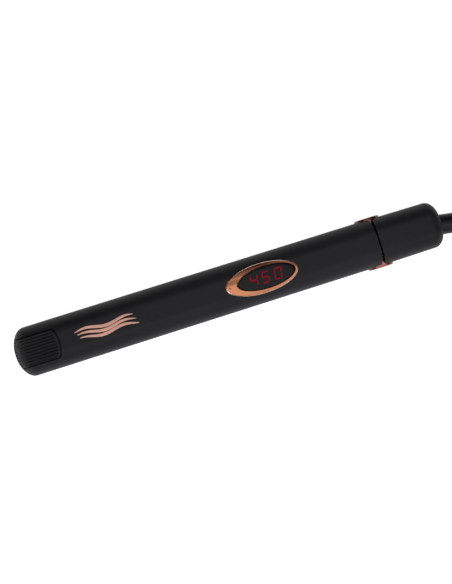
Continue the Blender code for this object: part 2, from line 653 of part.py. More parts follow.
def hank_outline(inset):
    """The hank seen from above: round folds at both ends and a waist where the tie pinches it."""
    rear, radius, half_run = HANK_FRONT + HANK_RUN, HANK_FOLD + CORD_RADIUS - inset, HANK_RUN / 2
    held = TIE_WIDTH / 2
    side = []
    for share in (0.75, 0.5, 0.25, 0.0):
        pinch = 0.5 * (1 + math.cos(math.pi * share))
        side.append((held + (half_run - held) * share, radius - HANK_WAIST * pinch))
    side += [(-x, y) for x, y in reversed(side)]
    side = [(HANK_FRONT + half_run + x, y) for x, y in side]
    outline = arc(rear, HANK_Y, radius, -90, 90, 10)
    outline += [(x, HANK_Y + y) for x, y in side]
    outline += arc(HANK_FRONT, HANK_Y, radius, 90, 270, 10)
    return outline + [(x, HANK_Y - y) for x, y in reversed(side)]


def add_cord():
    add_tube("cord", LEAD_ROUTE, CORD_RADIUS, "black_rubber", None, 3)
    add_tube("cord_tail", TAIL_ROUTE, CORD_RADIUS, "black_rubber", None, 3)
    top = HANK_LIFT + 2 * CORD_RADIUS * HANK_LAYERS
    rings = []
    for i in range(4):
        turn = math.pi / 2 * i / 3
        rings.append((CORD_RADIUS * (1 - math.sin(turn)), CORD_RADIUS * (1 - math.cos(turn))))
    levels = [(inset, HANK_LIFT + rise) for inset, rise in rings]
    levels += [(inset, top - rise) for inset, rise in reversed(rings)]
    hank = [[(x, y, z) for x, y in hank_outline(inset)] for inset, z in levels]
    add_part("cord_hank", loft(hank), "black_rubber", None)
    add_tie(top)


def add_tie(hank_top):
    middle = HANK_FRONT + HANK_RUN / 2
    half = HANK_FOLD + CORD_RADIUS - HANK_WAIST + GAP
    rings = []
    for x, grow in ((-1, 0), (1, 0), (1, TIE_THICKNESS), (-1, TIE_THICKNESS)):
        band = rounded_rectangle(half + grow, TIE_THICKNESS - grow, hank_top + GAP + grow,
                                 CORD_RADIUS + grow)
        rings.append([(middle + x * TIE_WIDTH / 2, HANK_Y + y, z) for y, z in band])
    add_part("cord_tie", loft(rings, closed=True), "inner_plastic", None)


def add_plug():
    """A two-blade plug, with its own short relief, lying on the tie."""
    frame = add_frame("plug_frame", PLUG_CENTRE, (0, 0, PLUG_YAW))
    profile = [(-30, 4.0, 4.0, 3.9), (-17, 5.2, 5.0, 4.4), (-15.5, 8.2, 6.0, 4.4), (-10, 11.5, 7.2, 4.4),
               (14.5, 11.5, 7.2, 4.4), (PLUG_FACE, 10.7, 6.4, 3.6)]
    rings = [[(x, y, z) for y, z in rounded_rectangle(half, -tall, tall, radius)]
             for x, half, tall, radius in profile]
    add_part("plug_body", loft(rings), "black_rubber", frame)
    for side, y in {"left": -BLADE_Y, "right": BLADE_Y}.items():
        blade = box(PLUG_FACE + GAP, BLADE_END, y - BLADE_HALF_THICKNESS, y + BLADE_HALF_THICKNESS,
                    -BLADE_HALF_WIDTH, BLADE_HALF_WIDTH)
        round_edges(add_part(f"plug_blade_{side}", blade, "nickel", frame), 0.3, 1)


# Assembly

def add_upper_arm(frame):
    housing = add_housing("upper_housing", UPPER_REAR, frame)
    add_tip_pad("upper_tip_pad", frame)
    add_carrier("upper_plate_carrier", frame)
    add_cover("upper_handle_cover", frame, BUTTONS.values())
    add_arm_screws("upper", frame)
    add_plate_group("upper", frame)
    add_display(frame, housing)
    switches = [(x - SWITCH_HALF, x + SWITCH_HALF, -SWITCH_HALF, SWITCH_HALF, SWITCH_LOW, BOARD_LOW + 0.5)
                for x, _ in BUTTONS.values()]
    add_board("control_board", frame, switches)
    for name, (x, radius) in BUTTONS.items():
        add_plug_in(name, x, radius, BUTTON_FACE, "inner_plastic", frame)


def add_lower_arm(frame):
    add_housing("lower_housing", LOWER_REAR, frame)
    add_tip_pad("lower_tip_pad", frame)
    add_carrier("lower_plate_carrier", frame)
    add_cover("lower_handle_cover", frame, [(BUMPER_X, BUMPER_RADIUS)])
    add_arm_screws("lower", frame)
    add_plate_group("lower", frame)
    blocks = [(-70, BOARD_REAR, -7, 7, 5.0, BOARD_LOW + 0.5), (-112, -98, -6, 6, 4.5, BOARD_LOW + 0.5)]
    add_board("power_board", frame, blocks)
    fuse = turned([(1.5, 0), (1.5, 12)], placed(-148, 0, 9.0, AXIS_X), 12)
    add_part("thermal_fuse", fuse, "white_ceramic", frame)
    add_plug_in("stop_bumper", BUMPER_X, BUMPER_RADIUS, BUMPER_FACE, "black_rubber", frame)


def main():
    for obj in list(bpy.data.objects):
        bpy.data.objects.remove(obj, do_unlink=True)
    pin = (PIN_X, 0, PIN_Z)
    pin_frame = add_frame("pin_frame", pin, (0, 0, 0))
    upper = add_frame("upper_arm_frame", pin, (0, OPEN_ANGLE, 0))
    lower = add_frame("lower_arm_frame", pin, (math.pi, 0, 0))
    add_upper_arm(upper)
    add_lower_arm(lower)
    add_brackets(upper, lower)
    add_hinge(pin_frame)
    add_rear_cap(pin_frame)
    add_swivel(pin_frame)
    add_harnesses(pin_frame, upper)
    add_cord()
    add_plug()


main()
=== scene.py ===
"""Looks of the hair straightening iron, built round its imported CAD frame.

Lengths are in millimetres in the frames of the CAD source, and add_piece() turns them into metres.
Arm frame: origin on the hinge pin, +X to the rear, +Z from the closing plane to the arm's crown.
"""
import math

import bmesh
import bpy
from mathutils import Matrix, Vector


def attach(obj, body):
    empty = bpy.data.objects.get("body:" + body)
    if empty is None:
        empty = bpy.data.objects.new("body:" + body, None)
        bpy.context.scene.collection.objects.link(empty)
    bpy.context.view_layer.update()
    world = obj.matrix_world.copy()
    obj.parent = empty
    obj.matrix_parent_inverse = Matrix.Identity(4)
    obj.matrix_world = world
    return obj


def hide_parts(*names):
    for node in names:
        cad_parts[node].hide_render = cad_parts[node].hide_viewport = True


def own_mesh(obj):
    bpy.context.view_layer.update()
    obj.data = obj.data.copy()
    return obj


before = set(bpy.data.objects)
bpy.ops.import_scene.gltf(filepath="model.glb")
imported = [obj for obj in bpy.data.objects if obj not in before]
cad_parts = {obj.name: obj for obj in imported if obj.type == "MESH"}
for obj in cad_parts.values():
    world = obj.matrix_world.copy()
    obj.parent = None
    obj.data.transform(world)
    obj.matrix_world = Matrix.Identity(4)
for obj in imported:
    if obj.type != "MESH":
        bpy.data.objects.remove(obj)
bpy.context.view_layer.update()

MM = 0.001
GAP = 0.3

# Dimensions of the CAD, and of the finer shapes on it
PIN = (100.5, 0.0, 17.5)
OPEN_ANGLE = math.radians(10.0)
TIP_X = -247.0
CAP_END = 46.0
HALF_WIDTH, ARM_HEIGHT, CROWN_HALF, SIDE_Z = 16.0, 17.5, 5.0, 3.0
RIM_Z, WALL = 0.5, 1.8
TIP_PLAN_DEPTH, TIP_SIDE_DEPTH = 9.75, 13.0
UPPER_REAR, LOWER_REAR = -1.5, 2.5
PAD_REAR, PAD_HALF, PAD_CORNER, PAD_BOW, PAD_LOW_Z = -218.8, 9.15, 2.5, 1.1, 3.5
PAD_GROOVE, PAD_THICKNESS, PAD_EDGE = 0.6, 1.3, 0.4
POCKET_DEPTH, POCKET_REACH = 1.5, 3.0
RIB_PITCH, RIB_DEPTH, RIB_END = 1.93, 0.6, 1.7
PLATE_FRONT, PLATE_REAR, PLATE_HALF, PLATE_FACE, PLATE_BACK = -238.0, -146.0, 12.5, 0.15, 3.0
PLATE_CORNER, PLATE_EDGE, PLATE_CLEARANCE = 1.2, 0.9, 0.4
CUSHION_INSET, CUSHION_REACH, CUSHION_HALF, CUSHION_CORNER, CUSHION_KEEP = 2.6, 2.0, 5.0, 0.8, 0.45
SOFT_EDGE = 0.3
INNER_FIT = WALL + GAP
CARRIER_REAR, CARRIER_LOW, CARRIER_HIGH, BAR_HIGH = -136.0, 1.0, 5.0, 7.0
COVER_FRONT, COVER_REAR, COVER_LOW, COVER_HIGH = -135.7, -12.0, 1.0, 2.6
BEZEL_X, BEZEL_A, BEZEL_B, BEZEL_SKIRT = -82.8, 24.6, 9.75, 1.1
LENS_SHIFT, LENS_A, LENS_B, LENS_LOW, LENS_TOP = 3.2, 19.6, 7.25, 14.5, 16.9
BEZEL_RISE, BEZEL_DIP = 0.5, 0.5
SCREW_XS = (-128.0, -54.0, -22.0)
SCREW_END, BOARD_SCREW_END = 9.0, 13.4
BUTTONS = {"power_button": (-118.0, 3.4), "plus_button": (-100.0, 2.7), "minus_button": (-86.0, 2.7)}
BUMPER_X, BUMPER_RADIUS = -44.0, 3.0
HINGE_CAP_RADIUS, HINGE_CAP_INNER, HINGE_CAP_OUTER = 8.45, 12.2, 17.25
CAP_FRONT, CAP_FRONT_HALF, CAP_REAR_HALF = 2.8, 15.85, 15.4
CAP_SHOULDER, SHOULDER_WIDTH, SHOULDER_HEIGHT = 38.0, 11.0, 11.5
BALL_X, BALL_RADIUS, BALL_FLAT = 35.0, 8.5, 7.5
RELIEF_YAW, RELIEF_DROOP = math.radians(-8.5), math.radians(11.0)
RELIEF_START, RELIEF_END, RELIEF_HOLE = 7.8, 66.5, 7.2
CAP_SCREW_X, CAP_SCREW_Y = 18.0, 6.0
STEM_RADIUS, STEM_END, FLANGE_WIDTH, FLANGE_THICKNESS = 1.2, 5.0, 0.9, 0.8

# Cord, hank, tie and plug, in world millimetres
CORD_RADIUS, CORD_LENGTH = 3.0, 2.74
LEAD = [
    (200.35, -9.69, 4.75), (205.5, -10.4, 4.05), (210.0, -11.0, 3.75), (214.5, -11.4, 3.75),
    (220.0, -11.9, 3.85), (226.5, -12.4, 4.2),
]
TAIL = [
    (334.0, -12.5, 28.8), (346.0, -12.1, 28.9), (355.5, -7.2, 29.3), (361.4, 1.5, 30.0),
    (362.2, 12.0, 31.0), (357.5, 21.3, 32.2), (348.5, 27.0, 33.3), (337.5, 28.3, 34.1),
    (326.5, 26.2, 34.5), (315.8, 22.35, 34.5),
]
HANK_FRONT, HANK_Y, HANK_RUN, HANK_FOLD, HANK_WAIST = 233.0, 11.5, 109.0, 24.0, 10.0
HANK_LIFT, HANK_LAYERS, HANK_HELD = 1.4, 4, 8.0
FOLD_ARC = math.pi * (HANK_FOLD - CORD_RADIUS)
LOOP = 2 * (HANK_RUN + FOLD_ARC)
TIE_WIDTH, TIE_THICKNESS = 16.0, 1.0
PLUG_CENTRE, PLUG_YAW = (287.5, 11.5, 34.5), math.radians(201.0)

UP = Matrix.Translation(PIN) @ Matrix.Rotation(OPEN_ANGLE, 4, "Y")
DOWN = Matrix.Translation(PIN) @ Matrix.Rotation(math.pi, 4, "X")
REAR = Matrix.Translation(PIN)
WORLD = Matrix.Identity(4)
PLUG = Matrix.Translation(PLUG_CENTRE) @ Matrix.Rotation(PLUG_YAW, 4, "Z")
AXIS_Y = Matrix.Rotation(-math.pi / 2, 4, "X")
AXIS_Z = Matrix.Identity(4)

# Camera and floor, in metres; the lens and sensor in millimetres
CAMERA_PLACE, CAMERA_TURN = (-0.0029, -0.0015, 0.976), math.radians(-17.54)
CAMERA_LENS, CAMERA_SENSOR, CAMERA_NEAR, CAMERA_FAR = 88.8, 36.0, 0.01, 50.0
FLOOR_HALF, FLOOR_DROP, FLOOR_GLOW, FLOOR_SPECULAR = 9.0, 0.0002, 2.6, 0.1
FLOOR_TONES = (0.35, 0.35, 0.35), (0.345, 0.345, 0.345)

# The studio dome: how much the ends count, brightness from the -Y to the +Y horizon, and tint
DOME_ENDS = 1.1
DOME_BANDS = [(-1.0, 0.1), (-0.92, 0.1), (-0.85, 0.7), (-0.60, 1.8), (-0.30, 2.5), (0.20, 2.65), (0.25, 0.86),
              (0.45, 0.86), (0.60, 0.5), (0.75, 0.08), (1.0, 0.03)]
DOME_PEAK = 2.8
DOME_TINT = (0.95, 0.935, 1.0)
WALL_TONE = (0.90, 0.905, 0.915, 1)


# Objects and shader nodes

def add_object(name, data):
    thing = bpy.data.objects.new(name, data)
    bpy.context.scene.collection.objects.link(thing)
    return thing


def add_solid(name, bm):
    bmesh.ops.recalc_face_normals(bm, faces=bm.faces)
    mesh = bpy.data.meshes.new(name)
    bm.to_mesh(mesh)
    bm.free()
    return add_object(name, mesh)


def wire(tree, node, sockets):
    """Fills a node's inputs: another node's output is linked, anything else is a value."""
    for key, value in sockets.items():
        if isinstance(value, bpy.types.NodeSocket):
            tree.links.new(value, node.inputs[key])
        else:
            node.inputs[key].default_value = value
    return node


def add_node(tree, kind, sockets, **settings):
    node = tree.nodes.new("ShaderNode" + kind)
    for key, value in settings.items():
        setattr(node, key, value)
    return wire(tree, node, sockets)


# Camera, floor and light

def add_camera():
    data = bpy.data.cameras.new("camera")
    data.lens, data.sensor_width = CAMERA_LENS, CAMERA_SENSOR
    data.clip_start, data.clip_end = CAMERA_NEAR, CAMERA_FAR
    camera = add_object("camera", data)
    camera.location = CAMERA_PLACE
    camera.rotation_euler = (0, 0, CAMERA_TURN)
    bpy.context.scene.camera = camera


def add_dome():
    """A soft studio: long soft boxes across the sky, darker towards both ends, and a pale wall in view."""
    world = bpy.data.worlds.new("studio")
    world.use_nodes = True
    tree = world.node_tree
    parts = add_node(tree, "SeparateXYZ", {"Vector": add_node(tree, "TexCoord", {}).outputs["Generated"]})
    x, y = parts.outputs["X"], parts.outputs["Y"]
    square = add_node(tree, "Math", {0: x, 1: x}, operation="MULTIPLY").outputs["Value"]
    lean = add_node(tree, "Math", {0: square, 1: DOME_ENDS, 2: y}, operation="MULTIPLY_ADD").outputs["Value"]
    span = add_node(tree, "MapRange", {"Value": lean, "From Min": -1.0}).outputs["Result"]
    bands = add_node(tree, "ValToRGB", {"Fac": span})
    ramp = bands.color_ramp
    while len(ramp.elements) < len(DOME_BANDS):
        ramp.elements.new(0.5)
    for element, (across, level) in zip(ramp.elements, DOME_BANDS):
        element.position = (across + 1) / 2
        element.color = (*(level / DOME_PEAK * c for c in DOME_TINT), 1)
    sky = wire(tree, tree.nodes["Background"], {"Strength": DOME_PEAK, "Color": bands.outputs["Color"]})
    wall = add_node(tree, "Background", {"Color": WALL_TONE})
    seen = add_node(tree, "LightPath", {}).outputs["Is Camera Ray"]
    choice = add_node(tree, "MixShader", {0: seen, 1: sky.outputs[0], 2: wall.outputs[0]})
    wire(tree, tree.nodes["World Output"], {"Surface": choice.outputs["Shader"]})
    bpy.context.scene.world = world


def add_studio():
    bpy.context.scene.view_settings.view_transform = "Standard"
    add_dome()
    bm = bmesh.new()
    bmesh.ops.create_grid(bm, x_segments=8, y_segments=8, size=FLOOR_HALF)
    floor = add_solid("floor", bm)
    floor.location.z = -FLOOR_DROP
    floor.data.materials.append(glowing("floor", *FLOOR_TONES, FLOOR_GLOW, FLOOR_SPECULAR))


# Materials

SHEEN_ROUGHNESS, GLOW_ROUGHNESS = 0.5, 0.6
BLOTCH_DETAIL, BLOTCH_RANGE = 3, (0.35, 0.65)
GRAIN_DETAIL, GRAIN_RANGE, GRAIN_HEIGHT = 2, (0.3, 0.7), 0.0001
WEAR_RANGE, WEAR_SHARE = (0.52, 0.62), 0.6
WEAVE_GRAIN, WEAVE_SHEEN, WEAVE_DISTORTION, WEAVE_BUMP, WEAVE_HEIGHT = 1200, 0.3, 0.4, 0.7, 0.0003


def surface(name, colour, other, roughness, metallic=0.0, specular=0.5, grain=900.0, bump=0.1,
            spread=0.06, wear=0.0, sheen=0.0, stretch=(1, 1, 1), blotch=25.0):
    """A moulded, sprayed or metal finish: two colours in soft blotches, a fine grain in its
    roughness and bump, and edges that have gone lighter with wear."""
    material = bpy.data.materials.new(name)
    material.use_nodes = True
    tree = material.node_tree
    place = add_node(tree, "TexCoord", {}).outputs["Object"]
    place = add_node(tree, "Mapping", {"Vector": place, "Scale": stretch}).outputs["Vector"]

    def noise(scale, detail):
        return add_node(tree, "TexNoise", {"Vector": place, "Scale": scale, "Detail": detail}).outputs["Fac"]

    def ranged(value, source, target):
        keys = "Value", "From Min", "From Max", "To Min", "To Max"
        return add_node(tree, "MapRange", dict(zip(keys, (value, *source, *target)))).outputs["Result"]

    def mixed(share, a, b):
        return add_node(tree, "Mix", {"Factor": share, "A": a, "B": b}, data_type="RGBA").outputs["Result"]

    tone = mixed(ranged(noise(blotch, BLOTCH_DETAIL), BLOTCH_RANGE, (0, 1)), (*colour, 1), (*other, 1))
    if wear:
        edge = add_node(tree, "NewGeometry", {}).outputs["Pointiness"]
        worn = (*(min(1.0, c + wear) for c in colour), 1)
        tone = mixed(ranged(edge, WEAR_RANGE, (0, WEAR_SHARE)), tone, worn)
    fine = noise(grain, GRAIN_DETAIL)
    rough = ranged(fine, GRAIN_RANGE, (roughness - spread, roughness + spread))
    wire(tree, tree.nodes["Principled BSDF"], {
        "Base Color": tone, "Roughness": rough, "Metallic": metallic, "Specular IOR Level": specular,
        "Sheen Weight": sheen, "Sheen Roughness": SHEEN_ROUGHNESS,
    })
    if bump:
        add_bump(tree, fine, bump, GRAIN_HEIGHT)
    return material


def add_bump(tree, height, strength, distance):
    bump = add_node(tree, "Bump", {"Height": height, "Strength": strength, "Distance": distance})
    wire(tree, tree.nodes["Principled BSDF"], {"Normal": bump.outputs["Normal"]})


def woven(name, colour, other, pitch, roughness):
    """A hook-and-loop strap or braided sleeve: crossing waves of yarn."""
    material = surface(name, colour, other, roughness, grain=WEAVE_GRAIN, bump=0, sheen=WEAVE_SHEEN)
    tree = material.node_tree
    place = add_node(tree, "TexCoord", {}).outputs["Object"]
    yarn = {"Vector": place, "Scale": 1 / pitch, "Distortion": WEAVE_DISTORTION}
    waves = [add_node(tree, "TexWave", yarn, bands_direction=axis).outputs["Fac"] for axis in "XZ"]
    cross = add_node(tree, "Math", dict(enumerate(waves)), operation="MULTIPLY")
    add_bump(tree, cross.outputs["Value"], WEAVE_BUMP, WEAVE_HEIGHT)
    return material


def glowing(name, colour, other, strength, specular):
    """A surface that also gives off light in its own colours."""
    material = surface(name, colour, other, GLOW_ROUGHNESS, bump=0, specular=specular)
    shader = material.node_tree.nodes["Principled BSDF"]
    tone = shader.inputs["Base Color"].links[0].from_socket
    wire(material.node_tree, shader, {"Emission Strength": strength, "Emission Color": tone})
    return material


# Two colours, roughness, and what differs from surface()'s defaults
SURFACES = {
    "soft_touch": ((0.0036, 0.0036, 0.0041), (0.0046, 0.0046, 0.0052), 0.58,
        dict(specular=0.145, grain=2600, bump=0.12, wear=0.01)),
    "pad_plastic": ((0.0048, 0.0048, 0.0054), (0.0060, 0.0060, 0.0066), 0.52,
        dict(specular=0.11, grain=2200, bump=0.10, wear=0.01)),
    "inner_plastic": ((0.012, 0.012, 0.0125), (0.017, 0.017, 0.018), 0.58,
        dict(specular=0.4, grain=1500, bump=0.2, wear=0.03)),
    "button_plastic": ((0.020, 0.020, 0.021), (0.026, 0.026, 0.027), 0.38,
        dict(grain=1800, bump=0.1, wear=0.05)),
    "button_print": ((0.70, 0.55, 0.48), (0.62, 0.48, 0.42), 0.5, dict(grain=1500)),
    "rose_gold": ((0.265, 0.110, 0.053), (0.245, 0.096, 0.048), 0.13,
        dict(metallic=1.0, grain=700, bump=0.02, spread=0.03, wear=0.05)),
    # A lighter copy of the rose gold: a painted highlight for the bezel's lip
    "rose_gold_painted_highlight": ((0.74, 0.50, 0.42), (0.66, 0.43, 0.35), 0.22,
        dict(metallic=1.0, grain=700, bump=0.02)),
    # A darker copy of the rose gold: painted shade for the hinge discs set in the housing's notches
    "rose_gold_painted_shade": ((0.15, 0.052, 0.030), (0.12, 0.042, 0.024), 0.24,
        dict(metallic=1.0, grain=700, bump=0.03, wear=0.12)),
    "rose_print": ((0.50, 0.275, 0.205), (0.44, 0.235, 0.17), 0.5,
        dict(metallic=0.1, specular=0.2, grain=1600, bump=0.15, blotch=160)),
    "dark_lens": ((0.0030, 0.0024, 0.0024), (0.0038, 0.0032, 0.0032), 0.24,
        dict(specular=0.10, grain=300, bump=0.0, spread=0.04)),
    "pin_mark": ((0.12, 0.045, 0.022), (0.16, 0.06, 0.03), 0.5, dict(grain=900)),
    "plate_coating": ((0.050, 0.046, 0.046), (0.070, 0.062, 0.060), 0.22,
        dict(metallic=0.65, grain=5200, bump=0.05, spread=0.07, wear=0.1)),
    "heater_ceramic": ((0.72, 0.69, 0.65), (0.60, 0.57, 0.53), 0.6, dict(bump=0.3)),
    "circuit": ((0.012, 0.10, 0.04), (0.018, 0.15, 0.06), 0.45,
        dict(grain=500, bump=0.2, blotch=220, wear=0.1)),
    "steel": ((0.56, 0.56, 0.58), (0.46, 0.46, 0.49), 0.32,
        dict(metallic=1.0, stretch=(0.15, 1, 1), grain=2600, bump=0.15, wear=0.15)),
    "spring_steel": ((0.42, 0.42, 0.45), (0.30, 0.30, 0.33), 0.28,
        dict(metallic=1.0, stretch=(0.2, 1, 1), grain=2600, bump=0.1)),
    "bush_brass": ((0.72, 0.52, 0.25), (0.60, 0.42, 0.18), 0.3, dict(metallic=1.0)),
    "plug_brass": ((0.72, 0.66, 0.52), (0.62, 0.55, 0.42), 0.25,
        dict(metallic=1.0, stretch=(0.2, 1, 1), grain=2400, bump=0.12, wear=0.15)),
    "silicone": ((0.50, 0.17, 0.10), (0.42, 0.13, 0.08), 0.7, dict(bump=0.2, sheen=0.1)),
    "cord_rubber": ((0.0032, 0.0032, 0.0036), (0.0042, 0.0042, 0.0046), 0.40,
        dict(specular=0.15, grain=2400, bump=0.15, wear=0.01)),
}
# Two colours, the pitch of the weave in metres, and roughness
WEAVES = {
    "sleeving": ((0.05, 0.046, 0.042), (0.08, 0.074, 0.066), 0.004, 0.8),
    "tie_fabric": ((0.020, 0.020, 0.021), (0.034, 0.034, 0.036), 0.005, 0.85),
}
DIGIT_TONES, DIGIT_GLOW, DIGIT_SPECULAR = ((0.10, 0.0008, 0.004), (0.085, 0.0010, 0.005)), 1.9, 0.0


def make_finishes():
    finishes = {name: surface(name, *look, **more) for name, (*look, more) in SURFACES.items()}
    finishes.update({name: woven(name, *look) for name, look in WEAVES.items()})
    finishes["digits"] = glowing("digits", *DIGIT_TONES, DIGIT_GLOW, DIGIT_SPECULAR)
    return finishes


# Shapes

def loft(rings, closed=False):
    bm = bmesh.new()
    loops = [[bm.verts.new(point) for point in ring] for ring in rings]
    pairs = list(zip(loops, loops[1:]))
    if closed:
        pairs.append((loops[-1], loops[0]))
    else:
        bm.faces.new(loops[0])
        bm.faces.new(loops[-1])
    for low, high in pairs:
        for i in range(len(low)):
            bm.faces.new((low[i - 1], low[i], high[i], high[i - 1]))
    return bm


def shell(outer, inner):
    """A closed thin body between two grids of points that match row by row."""
    bm = bmesh.new()
    tops = [[bm.verts.new(p) for p in row] for row in outer]
    lows = [[bm.verts.new(p) for p in row] for row in inner]
    rows, columns = len(tops), len(tops[0])
    for grid, flip in ((tops, 1), (lows, -1)):
        for i in range(rows - 1):
            for j in range(columns - 1):
                quad = (grid[i][j], grid[i][j + 1], grid[i + 1][j + 1], grid[i + 1][j])
                bm.faces.new(quad[::flip])
    border = [(0, j) for j in range(columns)] + [(i, columns - 1) for i in range(1, rows)]
    border += [(rows - 1, j) for j in range(columns - 2, -1, -1)] + [(i, 0) for i in range(rows - 2, 0, -1)]
    for (a, b), (c, d) in zip(border, border[1:] + border[:1]):
        bm.faces.new((tops[a][b], lows[a][b], lows[c][d], tops[c][d]))
    return bm


def circle(radius, height, axis=AXIS_Z, sides=64):
    turns = [2 * math.pi * i / sides for i in range(sides)]
    return [axis @ Vector((radius * math.cos(a), radius * math.sin(a), height)) for a in turns]


def turned(profile, axis=AXIS_Z, sides=64, closed=False):
    return loft([circle(radius, height, axis, sides) for radius, height in profile], closed)


def placed(x, y, z, axis=AXIS_Z):
    return Matrix.Translation((x, y, z)) @ axis


def prism(plan, z0, z1):
    return loft([[(x, y, z) for x, y in plan] for z in (z0, z1)])


def box(x0, x1, y0, y1, z0, z1):
    return prism([(x0, y0), (x1, y0), (x1, y1), (x0, y1)], z0, z1)


def arc(cx, cy, radius, start, end, steps):
    angles = [math.radians(start + (end - start) * i / steps) for i in range(steps + 1)]
    return [(cx + radius * math.cos(a), cy + radius * math.sin(a)) for a in angles]


def rounded_plan(x0, x1, y0, y1, radius, steps=8):
    corners = [(x1 - radius, y1 - radius, 0), (x0 + radius, y1 - radius, 90),
               (x0 + radius, y0 + radius, 180), (x1 - radius, y0 + radius, 270)]
    return [p for cx, cy, turn in corners for p in arc(cx, cy, radius, turn, turn + 90, steps)]


def pillow(x0, x1, y0, y1, z0, z1, corner, low_round, high_round, steps=6):
    """A plate with round corners in plan and rounded lower and upper edges."""
    rings = []
    for i in range(steps + 1):
        a = math.pi / 2 * i / steps
        rings.append((low_round * (1 - math.sin(a)), z0 + low_round * (1 - math.cos(a))))
    for i in range(steps + 1):
        a = math.pi / 2 * i / steps
        rings.append((high_round * (1 - math.cos(a)), z1 - high_round * (1 - math.sin(a))))
    return loft([
        [(x, y, z) for x, y in rounded_plan(x0 + t, x1 - t, y0 + t, y1 - t, corner - min(t, corner - 0.05))]
        for t, z in rings
    ])


def ellipse(cx, a, b, height, sides=144):
    points = []
    for i in range(sides):
        turn = 2 * math.pi * i / sides
        y = b * math.sin(turn)
        points.append((cx + a * math.cos(turn), y, height(y) if callable(height) else height))
    return points


def smooth_route(route, steps):
    ends = [2 * Vector(route[0]) - Vector(route[1])]
    ends += [Vector(p) for p in route]
    ends.append(2 * Vector(route[-1]) - Vector(route[-2]))
    points = []
    for a, b, c, d in zip(ends, ends[1:], ends[2:], ends[3:]):
        for i in range(steps):
            t = i / steps
            points.append(0.5 * (2 * b + (c - a) * t + (2 * a - 5 * b + 4 * c - d) * t * t
                                 + (3 * b - a - 3 * c + d) * t ** 3))
    points.append(ends[-2])
    return points


def ease(t):
    t = min(1.0, max(0.0, t))
    return t * t * (3 - 2 * t)


# Pieces

def add_piece(name, bm, place, body, finish, replaces=(), cuts=(), sharp=32):
    """A finished object: its booleans applied in the CAD's own frame, then moved to the world."""
    piece = add_solid(name, bm)
    if cuts:
        carve(piece, cuts)
    piece.data.transform(Matrix.Scale(MM, 4) @ place)
    piece.data.shade_smooth()
    piece.data.set_sharp_from_angle(angle=math.radians(sharp))
    piece.data.materials.clear()
    piece.data.materials.append(FINISHES[finish])
    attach(piece, body)
    if replaces:
        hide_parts(*replaces)
    return piece


def minus(*solids):
    return [("DIFFERENCE", solid) for solid in solids]


def plus(*solids):
    return [("UNION", solid) for solid in solids]


def carve(piece, cuts):
    """Applies (operation, solid) pairs to a piece, in their order."""
    tools = []
    for operation, bm in cuts:
        tool = add_solid("tool", bm)
        modifier = piece.modifiers.new("carve", "BOOLEAN")
        modifier.operation, modifier.solver, modifier.object = operation, "EXACT", tool
        tools.append(tool)
    result = bpy.data.meshes.new_from_object(piece.evaluated_get(bpy.context.evaluated_depsgraph_get()))
    piece.modifiers.clear()
    piece.data = result
    for tool in tools:
        bpy.data.objects.remove(tool)


# Arm shells

SIDE_MARGIN, NOSE_START, NOTCH_PAST = 0.02, 0.1, 4.0
INNER_STEPS, TRAY_STEPS = (16, 20), (20, 20)


def tip_share(distance, depth, inset):
    """How much of its full width or height the arm has this far from its tip."""
    if distance >= depth:
        return 1.0
    back = (depth - distance) / (depth - inset)
    return math.sqrt(max(0.0, 1.0 - back * back))


def top_line(half, crown, side, height, steps):
    """The upper half of a cross-section, from its +Y side over the flat crown to its -Y side."""
    angles = [math.pi / 2 * i / steps for i in range(steps + 1)]
    quarter = [(crown + (half - crown) * math.cos(a), side + (height - side) * math.sin(a)) for a in angles]
    return quarter + [(-y, z) for y, z in reversed(quarter)]


def arm_ring(x, inset, low_z, steps):
    """The arm's cross-section at x: a flat crown, two elliptical quarters and upright sides."""
    distance = x - TIP_X
    wide = tip_share(distance, TIP_PLAN_DEPTH, inset)
    tall = tip_share(distance, TIP_SIDE_DEPTH, inset)
    half, height = (HALF_WIDTH - inset) * wide, (ARM_HEIGHT - inset) * tall
    over = top_line(half, CROWN_HALF * wide, max(SIDE_Z * tall, low_z + SIDE_MARGIN), height, steps)
    return [(x, y, z) for y, z in [(half, low_z)] + over + [(-half, low_z)]]


def arm_solid(inset, low_z, rear, rings=30, steps=32):
    depth = TIP_SIDE_DEPTH - inset
    turns = [math.pi / 2 * i / rings for i in range(1, rings + 1)]
    nose = [TIP_X + inset + NOSE_START] + [TIP_X + inset + depth * (1 - math.cos(a)) for a in turns[1:]]
    return loft([arm_ring(x, inset, low_z, steps) for x in nose + [rear]])


def arm_top(x, y):
    """The height of the arm's outside at a point of its plan, or None beyond its outline."""
    distance = x - TIP_X
    wide = tip_share(distance, TIP_PLAN_DEPTH, 0)
    tall = tip_share(distance, TIP_SIDE_DEPTH, 0)
    half, crown = HALF_WIDTH * wide, CROWN_HALF * wide
    if abs(y) >= half:
        return None
    beyond = max(0.0, abs(y) - crown) / (half - crown)
    return SIDE_Z * tall + (ARM_HEIGHT - SIDE_Z) * tall * math.sqrt(1 - beyond * beyond)


def crown_height(y, inset=0.0):
    """The height of the arm's top behind the rounded tip."""
    beyond = max(0.0, abs(y) - CROWN_HALF) / (HALF_WIDTH - inset - CROWN_HALF)
    return SIDE_Z + (ARM_HEIGHT - inset - SIDE_Z) * math.sqrt(1 - beyond * beyond)


def pad_rear(y, grow=0.0):
    """The rear end of the tip pad's outline at y: a shallow bow between round corners."""
    half, rear, radius = PAD_HALF + grow, PAD_REAR + grow, PAD_CORNER + grow
    edge = half - radius
    if abs(y) <= edge:
        return rear - PAD_BOW * (y / edge) ** 2
    return rear - PAD_BOW - radius + math.sqrt(max(0.0, radius ** 2 - (abs(y) - edge) ** 2))


